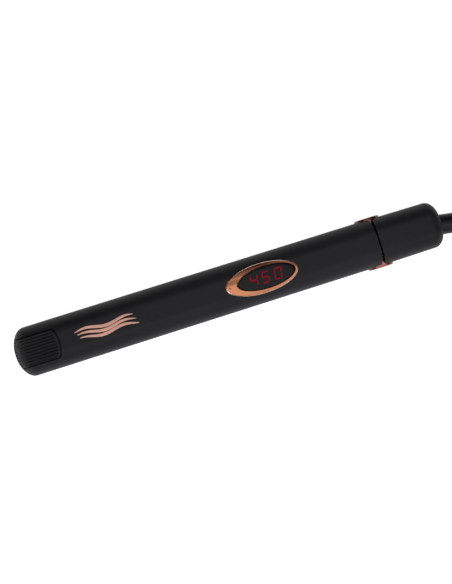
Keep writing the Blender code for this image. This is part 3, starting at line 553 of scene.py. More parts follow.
def pad_prism(grow):
    """The tip pad's outline, grown on all sides, as a tool for the housing."""
    half, radius, steps = PAD_HALF + grow, PAD_CORNER + grow, 8
    edge = half - radius
    corner = arc(PAD_REAR + grow - PAD_BOW - radius, edge, radius, 90, 8, steps)
    bow = [(pad_rear(y, grow), y) for y in [edge * (1 - i / steps) for i in range(steps)]]
    side = [(TIP_X - radius, half)] + corner + bow
    plan = side + [(pad_rear(0, grow), 0.0)] + [(x, -y) for x, y in reversed(side)]
    return prism(plan, PAD_LOW_Z - grow, ARM_HEIGHT + radius)


def hinge_notches():
    radius, inner, outer = HINGE_CAP_RADIUS + GAP, HINGE_CAP_INNER - GAP, HALF_WIDTH + NOTCH_PAST
    spans = (inner, outer), (-outer, -inner)
    return minus(*(turned([(radius, a), (radius, b)], AXIS_Y, 96) for a, b in spans))


def add_shell(name, node, place, body, rear, extra=()):
    """An arm's housing: a hollow body with a closed pocket for the tip pad."""
    hollow = arm_solid(WALL, -WALL, rear + WALL, *INNER_STEPS)
    pocket_floor = arm_solid(POCKET_DEPTH, RIM_Z + 1, PAD_REAR + POCKET_REACH, *INNER_STEPS)
    cuts = minus(pad_prism(PAD_GROOVE)) + plus(pocket_floor) + minus(hollow) + hinge_notches() + list(extra)
    add_piece(name, arm_solid(0.0, RIM_Z, rear), place, body, "soft_touch", [node], cuts)


PAD_COLUMNS, PAD_ROWS, HALVINGS, FINE_STEPS = 141, 90, 50, 400
# Plain margin beside the ribs and the length over which they fade, at the rear, front and sides
RIB_FADES = (RIB_END, 0.5), (1.0, 0.8), (0.45, 0.4)


def pad_column(y, count):
    """Points down the arm's outside at one y, evenly spaced from the pad's low front to its rear."""
    low, high = TIP_X, TIP_X + TIP_SIDE_DEPTH
    for _ in range(HALVINGS):
        middle = (low + high) / 2
        z = arm_top(middle, y)
        low, high = (middle, high) if z is None or z < PAD_LOW_Z else (low, middle)
    length = pad_rear(y) - high
    xs = [high + length * (i / FINE_STEPS) ** 3 for i in range(FINE_STEPS + 1)]
    line = [Vector((x, y, arm_top(x, y))) for x in xs]
    reach = [0.0]
    for a, b in zip(line, line[1:]):
        reach.append(reach[-1] + (b - a).length)
    points, k = [], 0
    for i in range(count):
        want = reach[-1] * i / (count - 1)
        while k < len(line) - 2 and reach[k + 1] < want:
            k += 1
        share = (want - reach[k]) / max(1e-9, reach[k + 1] - reach[k])
        points.append(line[k].lerp(line[k + 1], min(1.0, share)))
    return points, reach[-1]


def add_ribbed_pad(name, node, place, body):
    """The tip pad: lengthwise ribs cut into the arm's surface, inside a plain rounded margin."""
    columns, rows = PAD_COLUMNS, PAD_ROWS
    ys = [PAD_HALF * math.sin(math.pi / 2 * (2 * j / (columns - 1) - 1) * 0.999) for j in range(columns)]
    plain = [pad_column(y, rows) for y in ys]
    inside = Vector((TIP_X + 2 * TIP_SIDE_DEPTH, 0, 0))
    outer, inner = [], []
    for i in range(rows):
        top, low = [], []
        for j, y in enumerate(ys):
            points, length = plain[j]
            here = points[i]
            along = points[min(rows - 1, i + 1)] - points[max(0, i - 1)]
            left, right = plain[max(0, j - 1)][0][i], plain[min(columns - 1, j + 1)][0][i]
            normal = along.cross(right - left).normalized()
            if normal.dot(here - inside) < 0:
                normal = -normal
            margins = length * (1 - i / (rows - 1)), length * i / (rows - 1), PAD_HALF - abs(y)
            fade = math.prod(ease((margin - plain_edge) / reach)
                             for margin, (plain_edge, reach) in zip(margins, RIB_FADES))
            rib = RIB_DEPTH * (0.5 + 0.5 * math.cos(2 * math.pi * y / RIB_PITCH)) ** 0.8 * fade
            fall = PAD_EDGE - math.sqrt(max(0.0, PAD_EDGE ** 2 - max(0.0, PAD_EDGE - min(margins)) ** 2))
            top.append(here - normal * (rib + fall))
            low.append(here - normal * PAD_THICKNESS)
        outer.append(top)
        inner.append(low)
    add_piece(name, shell(outer, inner), place, body, "pad_plastic", [node], sharp=50)


def add_carrier(name, node, place, body):
    wide, front, rear = HALF_WIDTH, TIP_X - 1, CARRIER_REAR + 1
    half, away = PLATE_HALF + PLATE_CLEARANCE, PLATE_CLEARANCE
    opening = rounded_plan(PLATE_FRONT - away, PLATE_REAR + away, -half, half, 1.0)
    cuts = minus(box(front, rear, -wide, wide, BAR_HIGH, ARM_HEIGHT + 1), prism(opening, 0, CARRIER_HIGH))
    add_piece(name, arm_solid(INNER_FIT, CARRIER_LOW, CARRIER_REAR, *TRAY_STEPS), place, body,
              "inner_plastic", [node], cuts)


COVER_CORNER, COVER_EDGE, COVER_BACK_EDGE = 1.2, 0.35, 0.1
# Radius and height, as in every profile that is turned
SCREW_SEAT = [(2.5, -1), (2.5, COVER_LOW), (2.3, 1.2), (2.3, 1.8), (1.2, 1.8), (1.2, 5)]


def add_cover(name, node, place, body, bores):
    """The inner cover of a handle, with chamfered bores and countersunk screw seats."""
    half = HALF_WIDTH - INNER_FIT
    cover = pillow(COVER_FRONT, COVER_REAR, -half, half, COVER_LOW, COVER_HIGH,
                   COVER_CORNER, COVER_EDGE, COVER_BACK_EDGE)
    cuts = []
    for x, radius in bores:
        rim = radius + GAP
        profile = [(rim + 0.6, 0.4), (rim + COVER_EDGE, COVER_LOW), (rim, COVER_LOW + COVER_EDGE), (rim, 4)]
        cuts += minus(turned(profile, placed(x, 0, 0)))
    cuts += minus(*(turned(SCREW_SEAT, placed(x, 0, 0)) for x in SCREW_XS))
    add_piece(name, cover, place, body, "soft_touch", [node], cuts)


def cross_recess(size, low, high):
    half = size / 4
    return minus(box(-size, size, -half, half, low, high), box(-half, half, -size, size, low, high))


# The head's radius, the shank's radius, and the heights of the face and the shoulder
ARM_SCREW, CAP_SCREW, CAP_SCREW_END = (1.9, 0.9, 1.05, 1.5), (2.6, 1.2, 0.6, 1.9), 10.5
HEAD_DOME = [(0.35, 0), (0.75, 0.12), (0.95, 0.4), (1, 0.7)]
THREAD_MARGIN, THREAD_PITCH, THREAD_ROOT = 0.6, 0.5, 0.86
POINT_LENGTH, POINT_SHARE, RECESS_SHARE, RECESS_DEPTH = 0.4, 0.6, 0.55, 0.75


def add_screw(name, node, place, body, sizes, end):
    """A pan-head screw, face down: a domed head with a cross recess, and its thread as rings."""
    head, shank, face, shoulder = sizes
    deep = shoulder - face
    profile = [(head * share, face + deep * depth) for share, depth in HEAD_DOME]
    profile += [(head, shoulder), (shank, shoulder)]
    z = shoulder + THREAD_MARGIN
    while z < end - THREAD_MARGIN:
        profile += [(shank, z), (shank * THREAD_ROOT, z + THREAD_PITCH / 2)]
        z += THREAD_PITCH
    profile += [(shank, end - POINT_LENGTH), (shank * POINT_SHARE, end)]
    add_piece(name, turned(profile, sides=40), place, body, "steel", [node],
              cross_recess(head * RECESS_SHARE, face - 1, face + deep * RECESS_DEPTH))


def add_arm_screws(side, place, body):
    for i, x in enumerate(SCREW_XS, 1):
        end = BOARD_SCREW_END if x == SCREW_XS[-1] else SCREW_END
        add_screw(f"{side}_screw_head_{i}", f"{side}_screw_{i}", place @ placed(x, 0, 0), body,
                  ARM_SCREW, end)


def add_plate(side, place):
    plate = pillow(PLATE_FRONT, PLATE_REAR, -PLATE_HALF, PLATE_HALF, PLATE_FACE, PLATE_BACK,
                   PLATE_CORNER, PLATE_EDGE, SOFT_EDGE, 8)
    add_piece(f"{side}_heat_plate", plate, place, f"{side}_plate", "plate_coating", [f"{side}_plate"])


def add_cushions(side, place):
    """Silicone blocks behind both ends of a plate, each with a mesh of its own; in the real iron they flatten
    as the plate gives way.
    """
    low, high = PLATE_BACK + GAP, CARRIER_HIGH - GAP
    ends = {"front": PLATE_FRONT + CUSHION_INSET, "rear": PLATE_REAR - CUSHION_INSET}
    for end, x in ends.items():
        block = pillow(x - CUSHION_REACH, x + CUSHION_REACH, -CUSHION_HALF, CUSHION_HALF, low, high,
                       CUSHION_CORNER, SOFT_EDGE, SOFT_EDGE)
        cushion = add_piece(f"{side}_{end}_cushion", block, place, f"{side}_arm", "silicone",
                            [f"{side}_cushion_{end}"])
        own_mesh(cushion)


# Display, print and buttons

BEZEL_LIP, BEZEL_LIP_DROP, BEZEL_STEP, BEZEL_FALL = 0.5, 0.4, 0.88, BEZEL_RISE + BEZEL_DIP - 0.25
BEZEL_FOLLOW, BEZEL_CROWN, BEZEL_CREST, BEZEL_SIDES, BEZEL_BANDS = 0.7, 0.30, 4.0, 192, 26
# Depths of the bezel's neck and skirt below the arm's top
BEZEL_NECK_INSET, BEZEL_SKIRT_INSET = INNER_FIT + 0.1, WALL + 1.4
LENS_EDGE = [(1.0, LENS_LOW), (1.0, LENS_TOP - 0.25), (0.985, LENS_TOP - 0.10), (0.95, LENS_TOP - 0.03),
             (0.8, LENS_TOP)]
# The mark's place from the bezel's front, its half axes, shift, depth and height
MARK_BACK, MARK_A, MARK_B, MARK_SHIFT, MARK_LOW, MARK_HIGH = 2.4, 0.55, 0.75, 0.3, 0.2, 0.02


def bezel_height(y, share, width):
    """The bezel's top: a rounded outer lip, a gently crowned band and a step to the lens."""
    lip = (ease(share * width / BEZEL_LIP) - 1) * BEZEL_LIP_DROP
    dish = -BEZEL_FALL * ease((share - BEZEL_STEP) / (1 - BEZEL_STEP))
    across = BEZEL_CROWN * (math.exp(-(y / BEZEL_CREST) ** 2) - 1)
    return BEZEL_FOLLOW * crown_height(y) + (1 - BEZEL_FOLLOW) * ARM_HEIGHT + BEZEL_RISE + lip + dish + across


def band_share(step):
    """How far from the bezel's outer edge to its inner one a step of its bands lies."""
    return (1 - math.cos(math.pi * step / BEZEL_BANDS)) / 2


def bezel_rings(outer, inner):
    rings = [[(x, y, crown_height(y, BEZEL_NECK_INSET)) for x, y in outer]]
    for k in range(BEZEL_BANDS + 1):
        share = band_share(k)
        ring = []
        for (ox, oy), (ix, iy) in zip(outer, inner):
            x, y = ox + (ix - ox) * share, oy + (iy - oy) * share
            ring.append((x, y, bezel_height(y, share, math.hypot(ix - ox, iy - oy))))
        rings.append(ring)
    rings.append([(x, y, crown_height(y, BEZEL_SKIRT_INSET)) for x, y in inner])
    for inset in (BEZEL_SKIRT_INSET, BEZEL_NECK_INSET):
        rings.append(ellipse(BEZEL_X, BEZEL_A + BEZEL_SKIRT, BEZEL_B + BEZEL_SKIRT,
                             lambda y: crown_height(y, inset), BEZEL_SIDES))
    return rings


def add_display():
    """The bezel with its lip in a lighter rose gold as a painted highlight, the lens in it, and the small
    mark at its front.
    """
    lens_x = BEZEL_X + LENS_SHIFT
    turns = [2 * math.pi * i / BEZEL_SIDES for i in range(BEZEL_SIDES)]
    outer = [(BEZEL_X + BEZEL_A * math.cos(a), BEZEL_B * math.sin(a)) for a in turns]
    inner = [(lens_x + LENS_A * math.cos(a), LENS_B * math.sin(a)) for a in turns]
    bezel = add_piece("bezel_ring", loft(bezel_rings(outer, inner), closed=True), UP, "upper_arm",
                      "rose_gold", ["display_bezel"], sharp=40)
    # The lip's faces get the lighter rose gold, a painted highlight along the bezel's outer edge
    bezel.data.materials.append(FINISHES["rose_gold_painted_highlight"])
    for i, polygon in enumerate(bezel.data.polygons):
        band, j = i // BEZEL_SIDES - 1, i % BEZEL_SIDES
        width = math.hypot(inner[j][0] - outer[j][0], inner[j][1] - outer[j][1])
        if 0 <= band < BEZEL_BANDS and band_share(band + 0.5) * width < BEZEL_LIP * 0.8:
            polygon.material_index = 1
    lens = loft([ellipse(lens_x, (LENS_A - GAP) * k, (LENS_B - GAP) * k, z) for k, z in LENS_EDGE])
    add_piece("lens_glass", lens, UP, "upper_arm", "dark_lens", ["display_lens"])
    mark_x, top = BEZEL_X - BEZEL_A + MARK_BACK, crown_height(0) + BEZEL_RISE
    plan = [(mark_x + MARK_A * math.cos(a), MARK_B * math.sin(a) - MARK_SHIFT) for a in turns[::8]]
    add_piece("bezel_pin_mark", prism(plan, top - MARK_LOW, top + MARK_HIGH), UP, "upper_arm", "pin_mark")


DIGIT_HEIGHT, DIGIT_WIDTH, DIGIT_STROKE, DIGIT_SLANT = 7.5, 5.1, 0.76, math.tan(math.radians(9.0))
DIGIT_GAP, DIGIT_LOW, DIGIT_HIGH, DIGIT_CENTRES = 0.16, LENS_TOP - 0.05, LENS_TOP + 0.03, (-8.6, -0.6, 8.0)
SEGMENTS = {"4": "bcfg", "5": "acdfg", "0": "abcdef"}
# Each bar's two ends, in half widths and half heights of a digit
BARS = {"a": (-1, 1, 1, 1), "b": (1, 1, 1, 0), "c": (1, 0, 1, -1), "d": (-1, -1, 1, -1),
        "e": (-1, 0, -1, -1), "f": (-1, 1, -1, 0), "g": (-1, 0, 1, 0)}


def segment_points(letter):
    """A seven-segment bar as a long hexagon, in the digit's own x and y."""
    w, h, s = DIGIT_WIDTH - DIGIT_STROKE, DIGIT_HEIGHT - DIGIT_STROKE, DIGIT_STROKE / 2
    x0, y0, x1, y1 = BARS[letter]
    a, b = Vector((x0 * w / 2, y0 * h / 2)), Vector((x1 * w / 2, y1 * h / 2))
    along = (b - a).normalized()
    across = Vector((-along.y, along.x))
    a, b = a + along * DIGIT_GAP, b - along * DIGIT_GAP
    return [a, a + (along + across) * s, b + (across - along) * s, b, b - (along + across) * s,
            a + (along - across) * s]


def add_digits():
    bm = bmesh.new()
    for digit, centre in zip("450", DIGIT_CENTRES):
        for letter in SEGMENTS[digit]:
            plan = [(BEZEL_X + LENS_SHIFT + centre + p.x + p.y * DIGIT_SLANT, p.y)
                    for p in segment_points(letter)]
            loops = [[bm.verts.new((x, y, z)) for x, y in plan] for z in (DIGIT_LOW, DIGIT_HIGH)]
            bm.faces.new(loops[0][::-1])
            bm.faces.new(loops[1])
            for i in range(len(plan)):
                bm.faces.new((loops[0][i - 1], loops[0][i], loops[1][i], loops[1][i - 1]))
    add_piece("display_digits", bm, UP, "upper_arm", "digits")


MOTIF_X, MOTIF_LENGTH, MOTIF_PITCH, MOTIF_HALF, MOTIF_TIP = -187.6, 41.4, 2.6, 0.95, 0.05
MOTIF_WAVE, MOTIF_WAVES, MOTIF_LAG, MOTIF_STAGGER, MOTIF_TAPER = 1.1, 1.5, 0.35, 0.03, 0.55
PRINT_CROWN, PRINT_EDGE, PRINT_DEPTH = 0.06, 0.02, 0.05


def add_motif():
    """A generic print: three strands of hair that run side by side and taper to both ends."""
    steps, rows = 120, 6
    for k in range(3):
        start, end = MOTIF_STAGGER * k, 1 - MOTIF_STAGGER * (2 - k)
        outer, inner = [], []
        for i in range(steps + 1):
            share = i / steps
            u = start + (end - start) * share
            x = MOTIF_X + MOTIF_LENGTH * (u - 0.5)
            wave = math.sin(2 * math.pi * MOTIF_WAVES * u + MOTIF_LAG * k)
            centre = (1 - k) * MOTIF_PITCH + MOTIF_WAVE * wave
            half = MOTIF_TIP + MOTIF_HALF * math.sin(math.pi * share) ** MOTIF_TAPER
            across = [2 * j / rows - 1 for j in range(rows + 1)]
            line = [(x, centre + half * a, crown_height(centre + half * a)) for a in across]
            rise = [PRINT_CROWN * math.sqrt(max(0.0, 1 - a * a)) + PRINT_EDGE for a in across]
            outer.append([(x, y, z + up) for (x, y, z), up in zip(line, rise)])
            inner.append([(x, y, z - PRINT_DEPTH) for x, y, z in line])
        add_piece(f"print_strand_{k + 1}", shell(outer, inner), UP, "upper_arm", "rose_print")


# Height of a key's face and of the bumper's, half width of a printed bar
KEY_FACE, BUMPER_FACE, BAR_HALF = 0.5, -0.7, 0.22
KEY_DISH = [(0.2, 0.18), (0.5, 0.12), (0.75, 0.03)]
POWER_GAP, POWER_STEPS, POWER_WIDTH, POWER_BAR_HALF = 40, 40, 0.35, 0.2


def stem(radius):
    """The hidden end of a key or foot: its side, a flange behind the cover and a stem."""
    flange, wide = COVER_HIGH + GAP, radius + FLANGE_WIDTH
    back = flange + FLANGE_THICKNESS
    return [(radius, flange), (wide, flange), (wide, back), (STEM_RADIUS, back), (STEM_RADIUS, STEM_END)]


def add_push_button(name, x, radius):
    profile = [(radius * share, KEY_FACE + rise) for share, rise in KEY_DISH]
    profile += [(radius - 0.3, KEY_FACE), (radius - 0.09, KEY_FACE + 0.09), (radius, KEY_FACE + 0.3)]
    key = turned(profile + stem(radius), placed(x, 0, 0))
    add_piece(f"{name}_key", key, UP, name, "button_plastic", [name])
    size, low, high = radius * 0.45, KEY_FACE - 0.02, KEY_FACE + 0.25
    bars = [box(x - size, x + size, -BAR_HALF, BAR_HALF, low, high)]
    if name == "plus_button":
        bars.append(box(x - BAR_HALF, x + BAR_HALF, -size, size, low, high))
    if name == "power_button":
        wide, sweep = size + POWER_WIDTH, 360 - 2 * POWER_GAP
        turns = [math.radians(POWER_GAP + sweep * i / POWER_STEPS) for i in range(POWER_STEPS + 1)]
        ring = [[(x + r * math.cos(a), r * math.sin(a), z) for r, z in
                 ((size, low), (wide, low), (wide, high), (size, high))] for a in turns]
        bars = [loft(ring), box(x + size * 0.2, x + size * 1.25, -POWER_BAR_HALF, POWER_BAR_HALF, low, high)]
    for i, bar in enumerate(bars, 1):
        add_piece(f"{name}_mark_{i}", bar, UP, name, "button_print")


def add_bumper():
    r, steps = BUMPER_RADIUS, 8
    turns = [math.pi / 2 * i / steps for i in range(1, steps + 1)]
    dome = [(r * math.sin(a), BUMPER_FACE - BUMPER_FACE * (1 - math.cos(a))) for a in turns]
    add_piece("bumper_foot", turned(dome + stem(r), placed(BUMPER_X, 0, 0)), DOWN, "lower_arm",
              "cord_rubber", ["stop_bumper"])


# Hinge caps, rear cap, swivel and strain relief

RING_MARGIN, RING_PITCH, RING_WIDTH, RING_END = 1.0, 0.55, 0.12, 1.6
DISC_FACE, DISC_GROOVE = 0.10, 0.13


def add_hinge_caps():
    """Two turned discs with a rounded rim, fine rings and a dimple in the middle."""
    r, outer = HINGE_CAP_RADIUS, HINGE_CAP_OUTER
    face = [(r, HINGE_CAP_INNER), (r, outer - 0.7), (r - 0.12, outer - 0.42), (r - 0.35, outer - 0.25),
            (r - 0.7, outer - 0.18)]
    radius = r - RING_MARGIN
    while radius > RING_END:
        face += [(radius, outer - DISC_FACE), (radius - RING_WIDTH, outer - DISC_GROOVE),
                 (radius - 2 * RING_WIDTH, outer - DISC_FACE)]
        radius -= RING_PITCH
    face += [(1.2, outer - DISC_FACE), (0.9, outer - 0.45), (0.3, outer - 0.6)]
    for side, sign in {"left": -1, "right": 1}.items():
        profile = [(radius, sign * height) for radius, height in face]
        # The discs get the darker rose gold, painted shade for their place in the notches
        add_piece(f"hinge_disc_{side}", turned(profile, AXIS_Y, 96), REAR, "lower_arm", "rose_gold_painted_shade",
                  [f"hinge_cap_{side}"], sharp=25)


def cap_ring(x, inset, steps):
    taper = min(1.0, (x - CAP_FRONT) / (CAP_SHOULDER - CAP_FRONT))
    end = CAP_END - inset - CAP_SHOULDER
    shrink = 1 - math.sqrt(max(0.0, 1 - (max(0.0, x - CAP_SHOULDER) / end) ** 2))
    half = CAP_FRONT_HALF + (CAP_REAR_HALF - CAP_FRONT_HALF) * taper - inset - SHOULDER_WIDTH * shrink
    height = ARM_HEIGHT - inset - SHOULDER_HEIGHT * shrink
    top = top_line(half, CROWN_HALF * half / CAP_FRONT_HALF, SIDE_Z * height / ARM_HEIGHT, height, steps)
    return [(x, y, z) for y, z in top + [(-y, -z) for y, z in top]]


def cap_solid(inset, front, rings, steps):
    depth = CAP_END - inset - CAP_SHOULDER
    shoulder = [CAP_SHOULDER + depth * math.sin(math.pi / 2 * i / rings) for i in range(rings + 1)]
    return loft([cap_ring(x, inset, steps) for x in [front] + shoulder])


def relief_axis():
    along = Vector((math.cos(RELIEF_DROOP) * math.cos(RELIEF_YAW),
                    math.cos(RELIEF_DROOP) * math.sin(RELIEF_YAW), -math.sin(RELIEF_DROOP)))
    return placed(BALL_X, 0, 0, along.to_track_quat("Z", "Y").to_matrix().to_4x4())


CAP_INNER_STEPS, CAP_STEPS = (10, 16), (20, 32)
BOSS_RADIUS, BOSS_LOW, BOSS_HIGH, SEAT_RADIUS, SEAT_END, CAP_BORE = 3.6, 1.0, 7.0, 2.9, 2.2, 1.5
BALL_START, BALL_STEPS = -1.4, 32
# Turned profile of the relief's collar, and of its end
RELIEF_COLLAR = [(5.9, RELIEF_START), (6.3, RELIEF_START + 0.3), (6.68, 10.3), (6.75, 10.9), (6.75, 23.4),
                 (6.6, 24.4), (6.2, 25.4), (5.9, 26.0)]
RELIEF_NOSE = [(4.65, RELIEF_END - 1.2), (4.5, RELIEF_END - 0.5), (4.2, RELIEF_END - 0.1), (3.6, RELIEF_END)]
RIBBING_START, RIBBING_FIRST, RIBBING_PITCH = 26.0, 28.0, 3.4
RELIEF_SLOPE = (4.6 - 5.9) / (RELIEF_END - 1 - RIBBING_START)


def add_rear_cap():
    cuts = minus(cap_solid(WALL, CAP_FRONT - WALL, *CAP_INNER_STEPS)) + hinge_notches()
    cuts += minus(turned([(RELIEF_HOLE, 4), (RELIEF_HOLE, 24)], relief_axis(), 96))
    seats = [placed(CAP_SCREW_X, y, -ARM_HEIGHT) for y in (-CAP_SCREW_Y, CAP_SCREW_Y)]
    for seat in seats:
        cuts += plus(turned([(BOSS_RADIUS, BOSS_LOW), (BOSS_RADIUS, BOSS_HIGH)], seat, 48))
        cuts += minus(turned([(SEAT_RADIUS, -1), (SEAT_RADIUS, SEAT_END)], seat, 48),
                      turned([(CAP_BORE, -2), (CAP_BORE, BOSS_HIGH + 1)], seat, 32))
    add_piece("rear_end_cap", cap_solid(0.0, CAP_FRONT, *CAP_STEPS), REAR, "lower_arm", "soft_touch",
              ["rear_cap"], cuts)
    for i, seat in enumerate(seats, 1):
        add_screw(f"rear_screw_head_{i}", f"rear_cap_screw_{i}", REAR @ seat, "lower_arm",
                  CAP_SCREW, CAP_SCREW_END)


def add_relief():
    """The swivel's ball and, on it, the strain relief: a collar, a ribbed taper and a rounded nose."""
    flat = math.asin(BALL_FLAT / BALL_RADIUS)
    angles = [BALL_START + (flat - BALL_START) * i / BALL_STEPS for i in range(BALL_STEPS + 1)]
    ball = [(BALL_RADIUS * math.cos(a), BALL_RADIUS * math.sin(a)) for a in angles]
    add_piece("swivel_knuckle", turned(ball, relief_axis(), 72), REAR, "cord_swivel", "inner_plastic",
              ["swivel_ball"])
    relief, z, slope = list(RELIEF_COLLAR), RIBBING_FIRST, RELIEF_SLOPE
    while z < RELIEF_END - 5:
        r = RELIEF_COLLAR[-1][0] + slope * (z - RIBBING_START)
        relief += [(r, z), (r - 0.1, z + 0.2), (r - 0.75, z + 0.4), (r - 0.75, z + 1.2), (r - 0.1, z + 1.4),
                   (r + slope * 1.6, z + 1.6)]
        z += RIBBING_PITCH
    add_piece("cord_relief", turned(relief + RELIEF_NOSE, relief_axis(), 72), REAR, "cord_swivel",
              "cord_rubber", ["strain_relief"])


# Free cord

def hank_track(s, inner):
    """The plan point at loop coordinate s: inner is 0 on the outer track and 1 on the inner one."""
    s %= LOOP
    turn_end = HANK_RUN + FOLD_ARC
    radius = HANK_FOLD - 2 * CORD_RADIUS * inner
    if s < HANK_RUN or turn_end <= s < turn_end + HANK_RUN:
        along = s if s < HANK_RUN else turn_end + HANK_RUN - s
        reach = HANK_RUN / 2 - HANK_HELD
        share = max(0.0, (abs(along - HANK_RUN / 2) - HANK_HELD) / reach)
        slope = HANK_WAIST / 2 * math.pi / reach * math.sin(math.pi * share)
        half = HANK_FOLD - HANK_WAIST / 2 * (1 + math.cos(math.pi * share))
        half -= 2 * CORD_RADIUS * inner * math.hypot(1, slope)
        return HANK_FRONT + along, HANK_Y + (half if s > HANK_RUN else -half)
    if s < turn_end:
        turn = math.pi * ((s - HANK_RUN) / FOLD_ARC - 0.5)
        return HANK_FRONT + HANK_RUN + radius * math.cos(turn), HANK_Y + radius * math.sin(turn)
    turn = math.pi * ((s - turn_end - HANK_RUN) / FOLD_ARC + 0.5)
    return HANK_FRONT + radius * math.cos(turn), HANK_Y + radius * math.sin(turn)


# Track and layer of each turn; the middle and length of the crossing between two; and the last climb
PLACES = [(0, 0), (1, 0), (1, 1), (0, 1), (0, 2), (1, 2), (1, 3), (0, 3)]
CROSSINGS = [(264, 40), (247, 40), (230, 40), (213, 40), (196, 40), (142, 50), (91, 36)]
CLIMB_START, CLIMB, CLIMB_STEPS, HANK_STEP = 56.0, 43.0, 8, 5.0


def hank_route():
    """Seven turns through eight places in the bundle, one crossing a turn, then a climb to the tail."""
    level = HANK_LIFT + CORD_RADIUS
    end = len(CROSSINGS) * LOOP + CLIMB_START
    count = round(end / HANK_STEP)
    points = []
    for i in range(count + 1):
        s, inner, layer = end * i / count, 0.0, 0.0
        for turn, ((middle, width), a, b) in enumerate(zip(CROSSINGS, PLACES, PLACES[1:])):
            share = ease((s - (turn * LOOP + middle - width / 2)) / width)
            inner += (b[0] - a[0]) * share
            layer += (b[1] - a[1]) * share
        points.append((*hank_track(s, inner), level + 2 * CORD_RADIUS * layer))
    top = level + 2 * CORD_RADIUS * (HANK_LAYERS - 1)
    for i in range(1, CLIMB_STEPS):
        rise = (TAIL[0][2] - top) * ease(i / CLIMB_STEPS)
        points.append((*hank_track(CLIMB_START + CLIMB * i / CLIMB_STEPS, 0.0), top + rise))
    return points


def add_cord():
    """The whole cord as one smooth line: the lead, the hank, and the tail to the plug."""
    curve = bpy.data.curves.new("mains_cord", "CURVE")
    curve.dimensions = "3D"
    curve.bevel_depth = CORD_RADIUS * MM
    curve.bevel_resolution = 8
    curve.use_fill_caps = True
    points = smooth_route(LEAD + hank_route() + TAIL, 3)
    spline = curve.splines.new("POLY")
    spline.points.add(len(points) - 1)
    for spot, point in zip(spline.points, points):
        spot.co = (*(point * MM), 1.0)
    spline.use_smooth = True
    cord = add_object("mains_cord", curve)
    curve.materials.append(FINISHES["cord_rubber"])
    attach(cord, "lower_arm")
    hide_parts("cord", "cord_hank", "cord_tail")
    return cord


def upright_ring(x, half, low, high, radius, y0=0.0, steps=10):
    plan = rounded_plan(-half, half, low, high, radius, steps)
    return [(x, y0 + y, z) for y, z in plan]


# Half width and depth of the strap's cross-section, from 0 at its inside to 1 at its outside
TIE_SECTION = [(1, 0.15), (1, 0.85), (0.965, 1.0), (-0.965, 1.0), (-1, 0.85), (-1, 0.15), (-0.965, 0.0),
               (0.965, 0.0)]


def add_tie():
    """A strap round the hank's waist, with rolled edges."""
    middle, half = HANK_FRONT + HANK_RUN / 2, HANK_FOLD + CORD_RADIUS - HANK_WAIST + GAP
    top = HANK_LIFT + 2 * CORD_RADIUS * HANK_LAYERS + GAP
    rings = [upright_ring(middle + x * TIE_WIDTH / 2, half + grow, TIE_THICKNESS - grow, top + grow,
                          CORD_RADIUS + grow, HANK_Y) for x, grow in TIE_SECTION]
    return add_piece("hank_strap", loft(rings, closed=True), WORLD, "lower_arm", "tie_fabric", ["cord_tie"])


# Station, half width, half height and corner radius of the plug, from its tail to its face
PLUG_TAIL = [(-30, 3.7, 3.7, 3.6), (-29.5, 4.0, 4.0, 3.9)]
PLUG_NECK = [(-17, 5.2, 5.0, 4.4), (-16.4, 6.0, 5.3, 4.4), (-15.5, 8.2, 6.0, 4.4), (-14.0, 9.9, 6.5, 4.4),
             (-12.2, 11.0, 7.0, 4.4), (-10, 11.5, 7.2, 4.4)]
PLUG_GRIP = [(0, 11.5, 7.2, 4.4), (0.4, 11.0, 6.75, 4.1), (1.1, 11.0, 6.75, 4.1), (1.5, 11.5, 7.2, 4.4)]
PLUG_FACE = [(14.5, 11.5, 7.2, 4.4), (15.3, 11.35, 7.05, 4.2), (15.8, 11.0, 6.7, 3.9), (16, 10.6, 6.3, 3.6)]
# One ring of the tail: what it adds to the station and the tail's size, and its share as corner radius
TAIL_RING = [(0, 0, 0, 0.9), (0.3, -0.5, -0.5, 0.75), (1.0, -0.5, -0.5, 0.75), (1.3, 0.08, 0.05, 0.9)]
TAIL_START, TAIL_END, TAIL_PITCH, GRIP_START, GRIP_END, GRIP_PITCH = -28.0, -18.5, 2.6, -7.0, 7.0, 3.2
# Station, half thickness and half width of a blade
PLUG_BLADE = [(16.3, 0.75, 3.15), (31.3, 0.75, 3.15), (32.3, 0.62, 2.7), (32.8, 0.4, 2.0)]
BLADE_Y, BLADE_CORNER, BLADE_HOLE_X, BLADE_HOLE = 6.35, 0.2, 28.6, 1.6


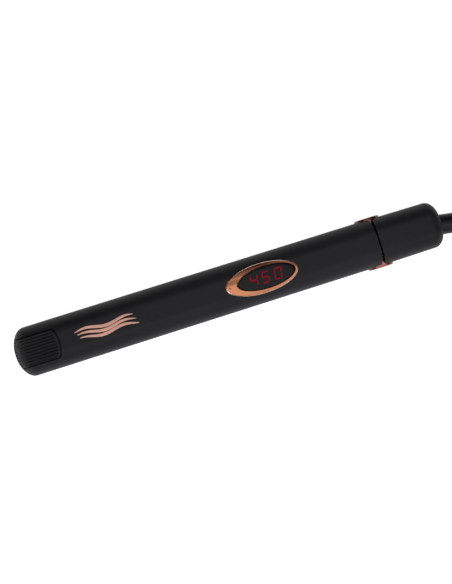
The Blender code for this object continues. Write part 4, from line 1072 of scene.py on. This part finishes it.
def add_plug():
    """A two-blade plug on the strap, with grip grooves and a ringed tail."""
    rows, x = list(PLUG_TAIL), TAIL_START
    while x < TAIL_END:
        size = 4.0 + 1.1 * (x + 30) / 13
        rows += [(x + step, size + wide, size + tall, size * k) for step, wide, tall, k in TAIL_RING]
        x += TAIL_PITCH
    rows, x = rows + PLUG_NECK, GRIP_START
    while x < GRIP_END:
        rows += [(x + step, *sizes) for step, *sizes in PLUG_GRIP]
        x += GRIP_PITCH
    body = loft([upright_ring(x, half, -tall, tall, radius) for x, half, tall, radius in rows + PLUG_FACE])
    pieces = [add_piece("plug_moulding", body, PLUG, "lower_arm", "cord_rubber", ["plug_body"])]
    for side, y in {"left": -BLADE_Y, "right": BLADE_Y}.items():
        blade = loft([
            [(x, y + py, pz) for py, pz in rounded_plan(-thick, thick, -tall, tall, BLADE_CORNER, 3)]
            for x, thick, tall in PLUG_BLADE
        ])
        hole = turned([(BLADE_HOLE, -2), (BLADE_HOLE, 2)], placed(BLADE_HOLE_X, y, 0, AXIS_Y), 40)
        pieces.append(add_piece(f"plug_contact_{side}", blade, PLUG, "lower_arm", "plug_brass",
                                [f"plug_blade_{side}"], minus(hole)))
    return pieces


def paint_cad():
    """The CAD nodes that stay in view, each with its own finish."""
    finishes = {
        "steel": ["hinge_pin", "upper_hinge_bracket", "lower_hinge_bracket"],
        "spring_steel": ["hinge_spring"],
        "bush_brass": ["hinge_bush_left", "hinge_bush_right"],
        "inner_plastic": ["display_module", "swivel_socket"],
        "circuit": ["control_board", "power_board"],
        "heater_ceramic": ["upper_heater", "lower_heater", "thermal_fuse"],
        "sleeving": ["mains_sleeve", "hinge_sleeve", "supply_sleeve", "upper_heater_lead_left",
                     "upper_heater_lead_right", "lower_heater_lead_left", "lower_heater_lead_right"],
    }
    for finish, names in finishes.items():
        for name in names:
            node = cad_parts[name]
            node.data.materials.clear()
            node.data.materials.append(FINISHES[finish])


FINISHES = make_finishes()
add_camera()
add_studio()
cord = add_cord()
pieces = [add_tie(), *add_plug()]
oval = [ellipse(BEZEL_X, BEZEL_A + GAP, BEZEL_B + GAP, z) for z in (8, 22)]
add_shell("upper_shell", "upper_housing", UP, "upper_arm", UPPER_REAR, [("DIFFERENCE", loft(oval))])
add_shell("lower_shell", "lower_housing", DOWN, "lower_arm", LOWER_REAR)
for side, place, bores in (("upper", UP, BUTTONS.values()), ("lower", DOWN, [(BUMPER_X, BUMPER_RADIUS)])):
    add_ribbed_pad(f"{side}_grip_pad", f"{side}_tip_pad", place, f"{side}_arm")
    add_carrier(f"{side}_plate_tray", f"{side}_plate_carrier", place, f"{side}_arm")
    add_cover(f"{side}_inner_cover", f"{side}_handle_cover", place, f"{side}_arm", bores)
    add_arm_screws(side, place, f"{side}_arm")
    add_plate(side, place)
    add_cushions(side, place)
add_display()
add_digits()
add_motif()
for name, (x, radius) in BUTTONS.items():
    add_push_button(name, x, radius)
add_bumper()
add_hinge_caps()
add_rear_cap()
add_relief()
paint_cad()
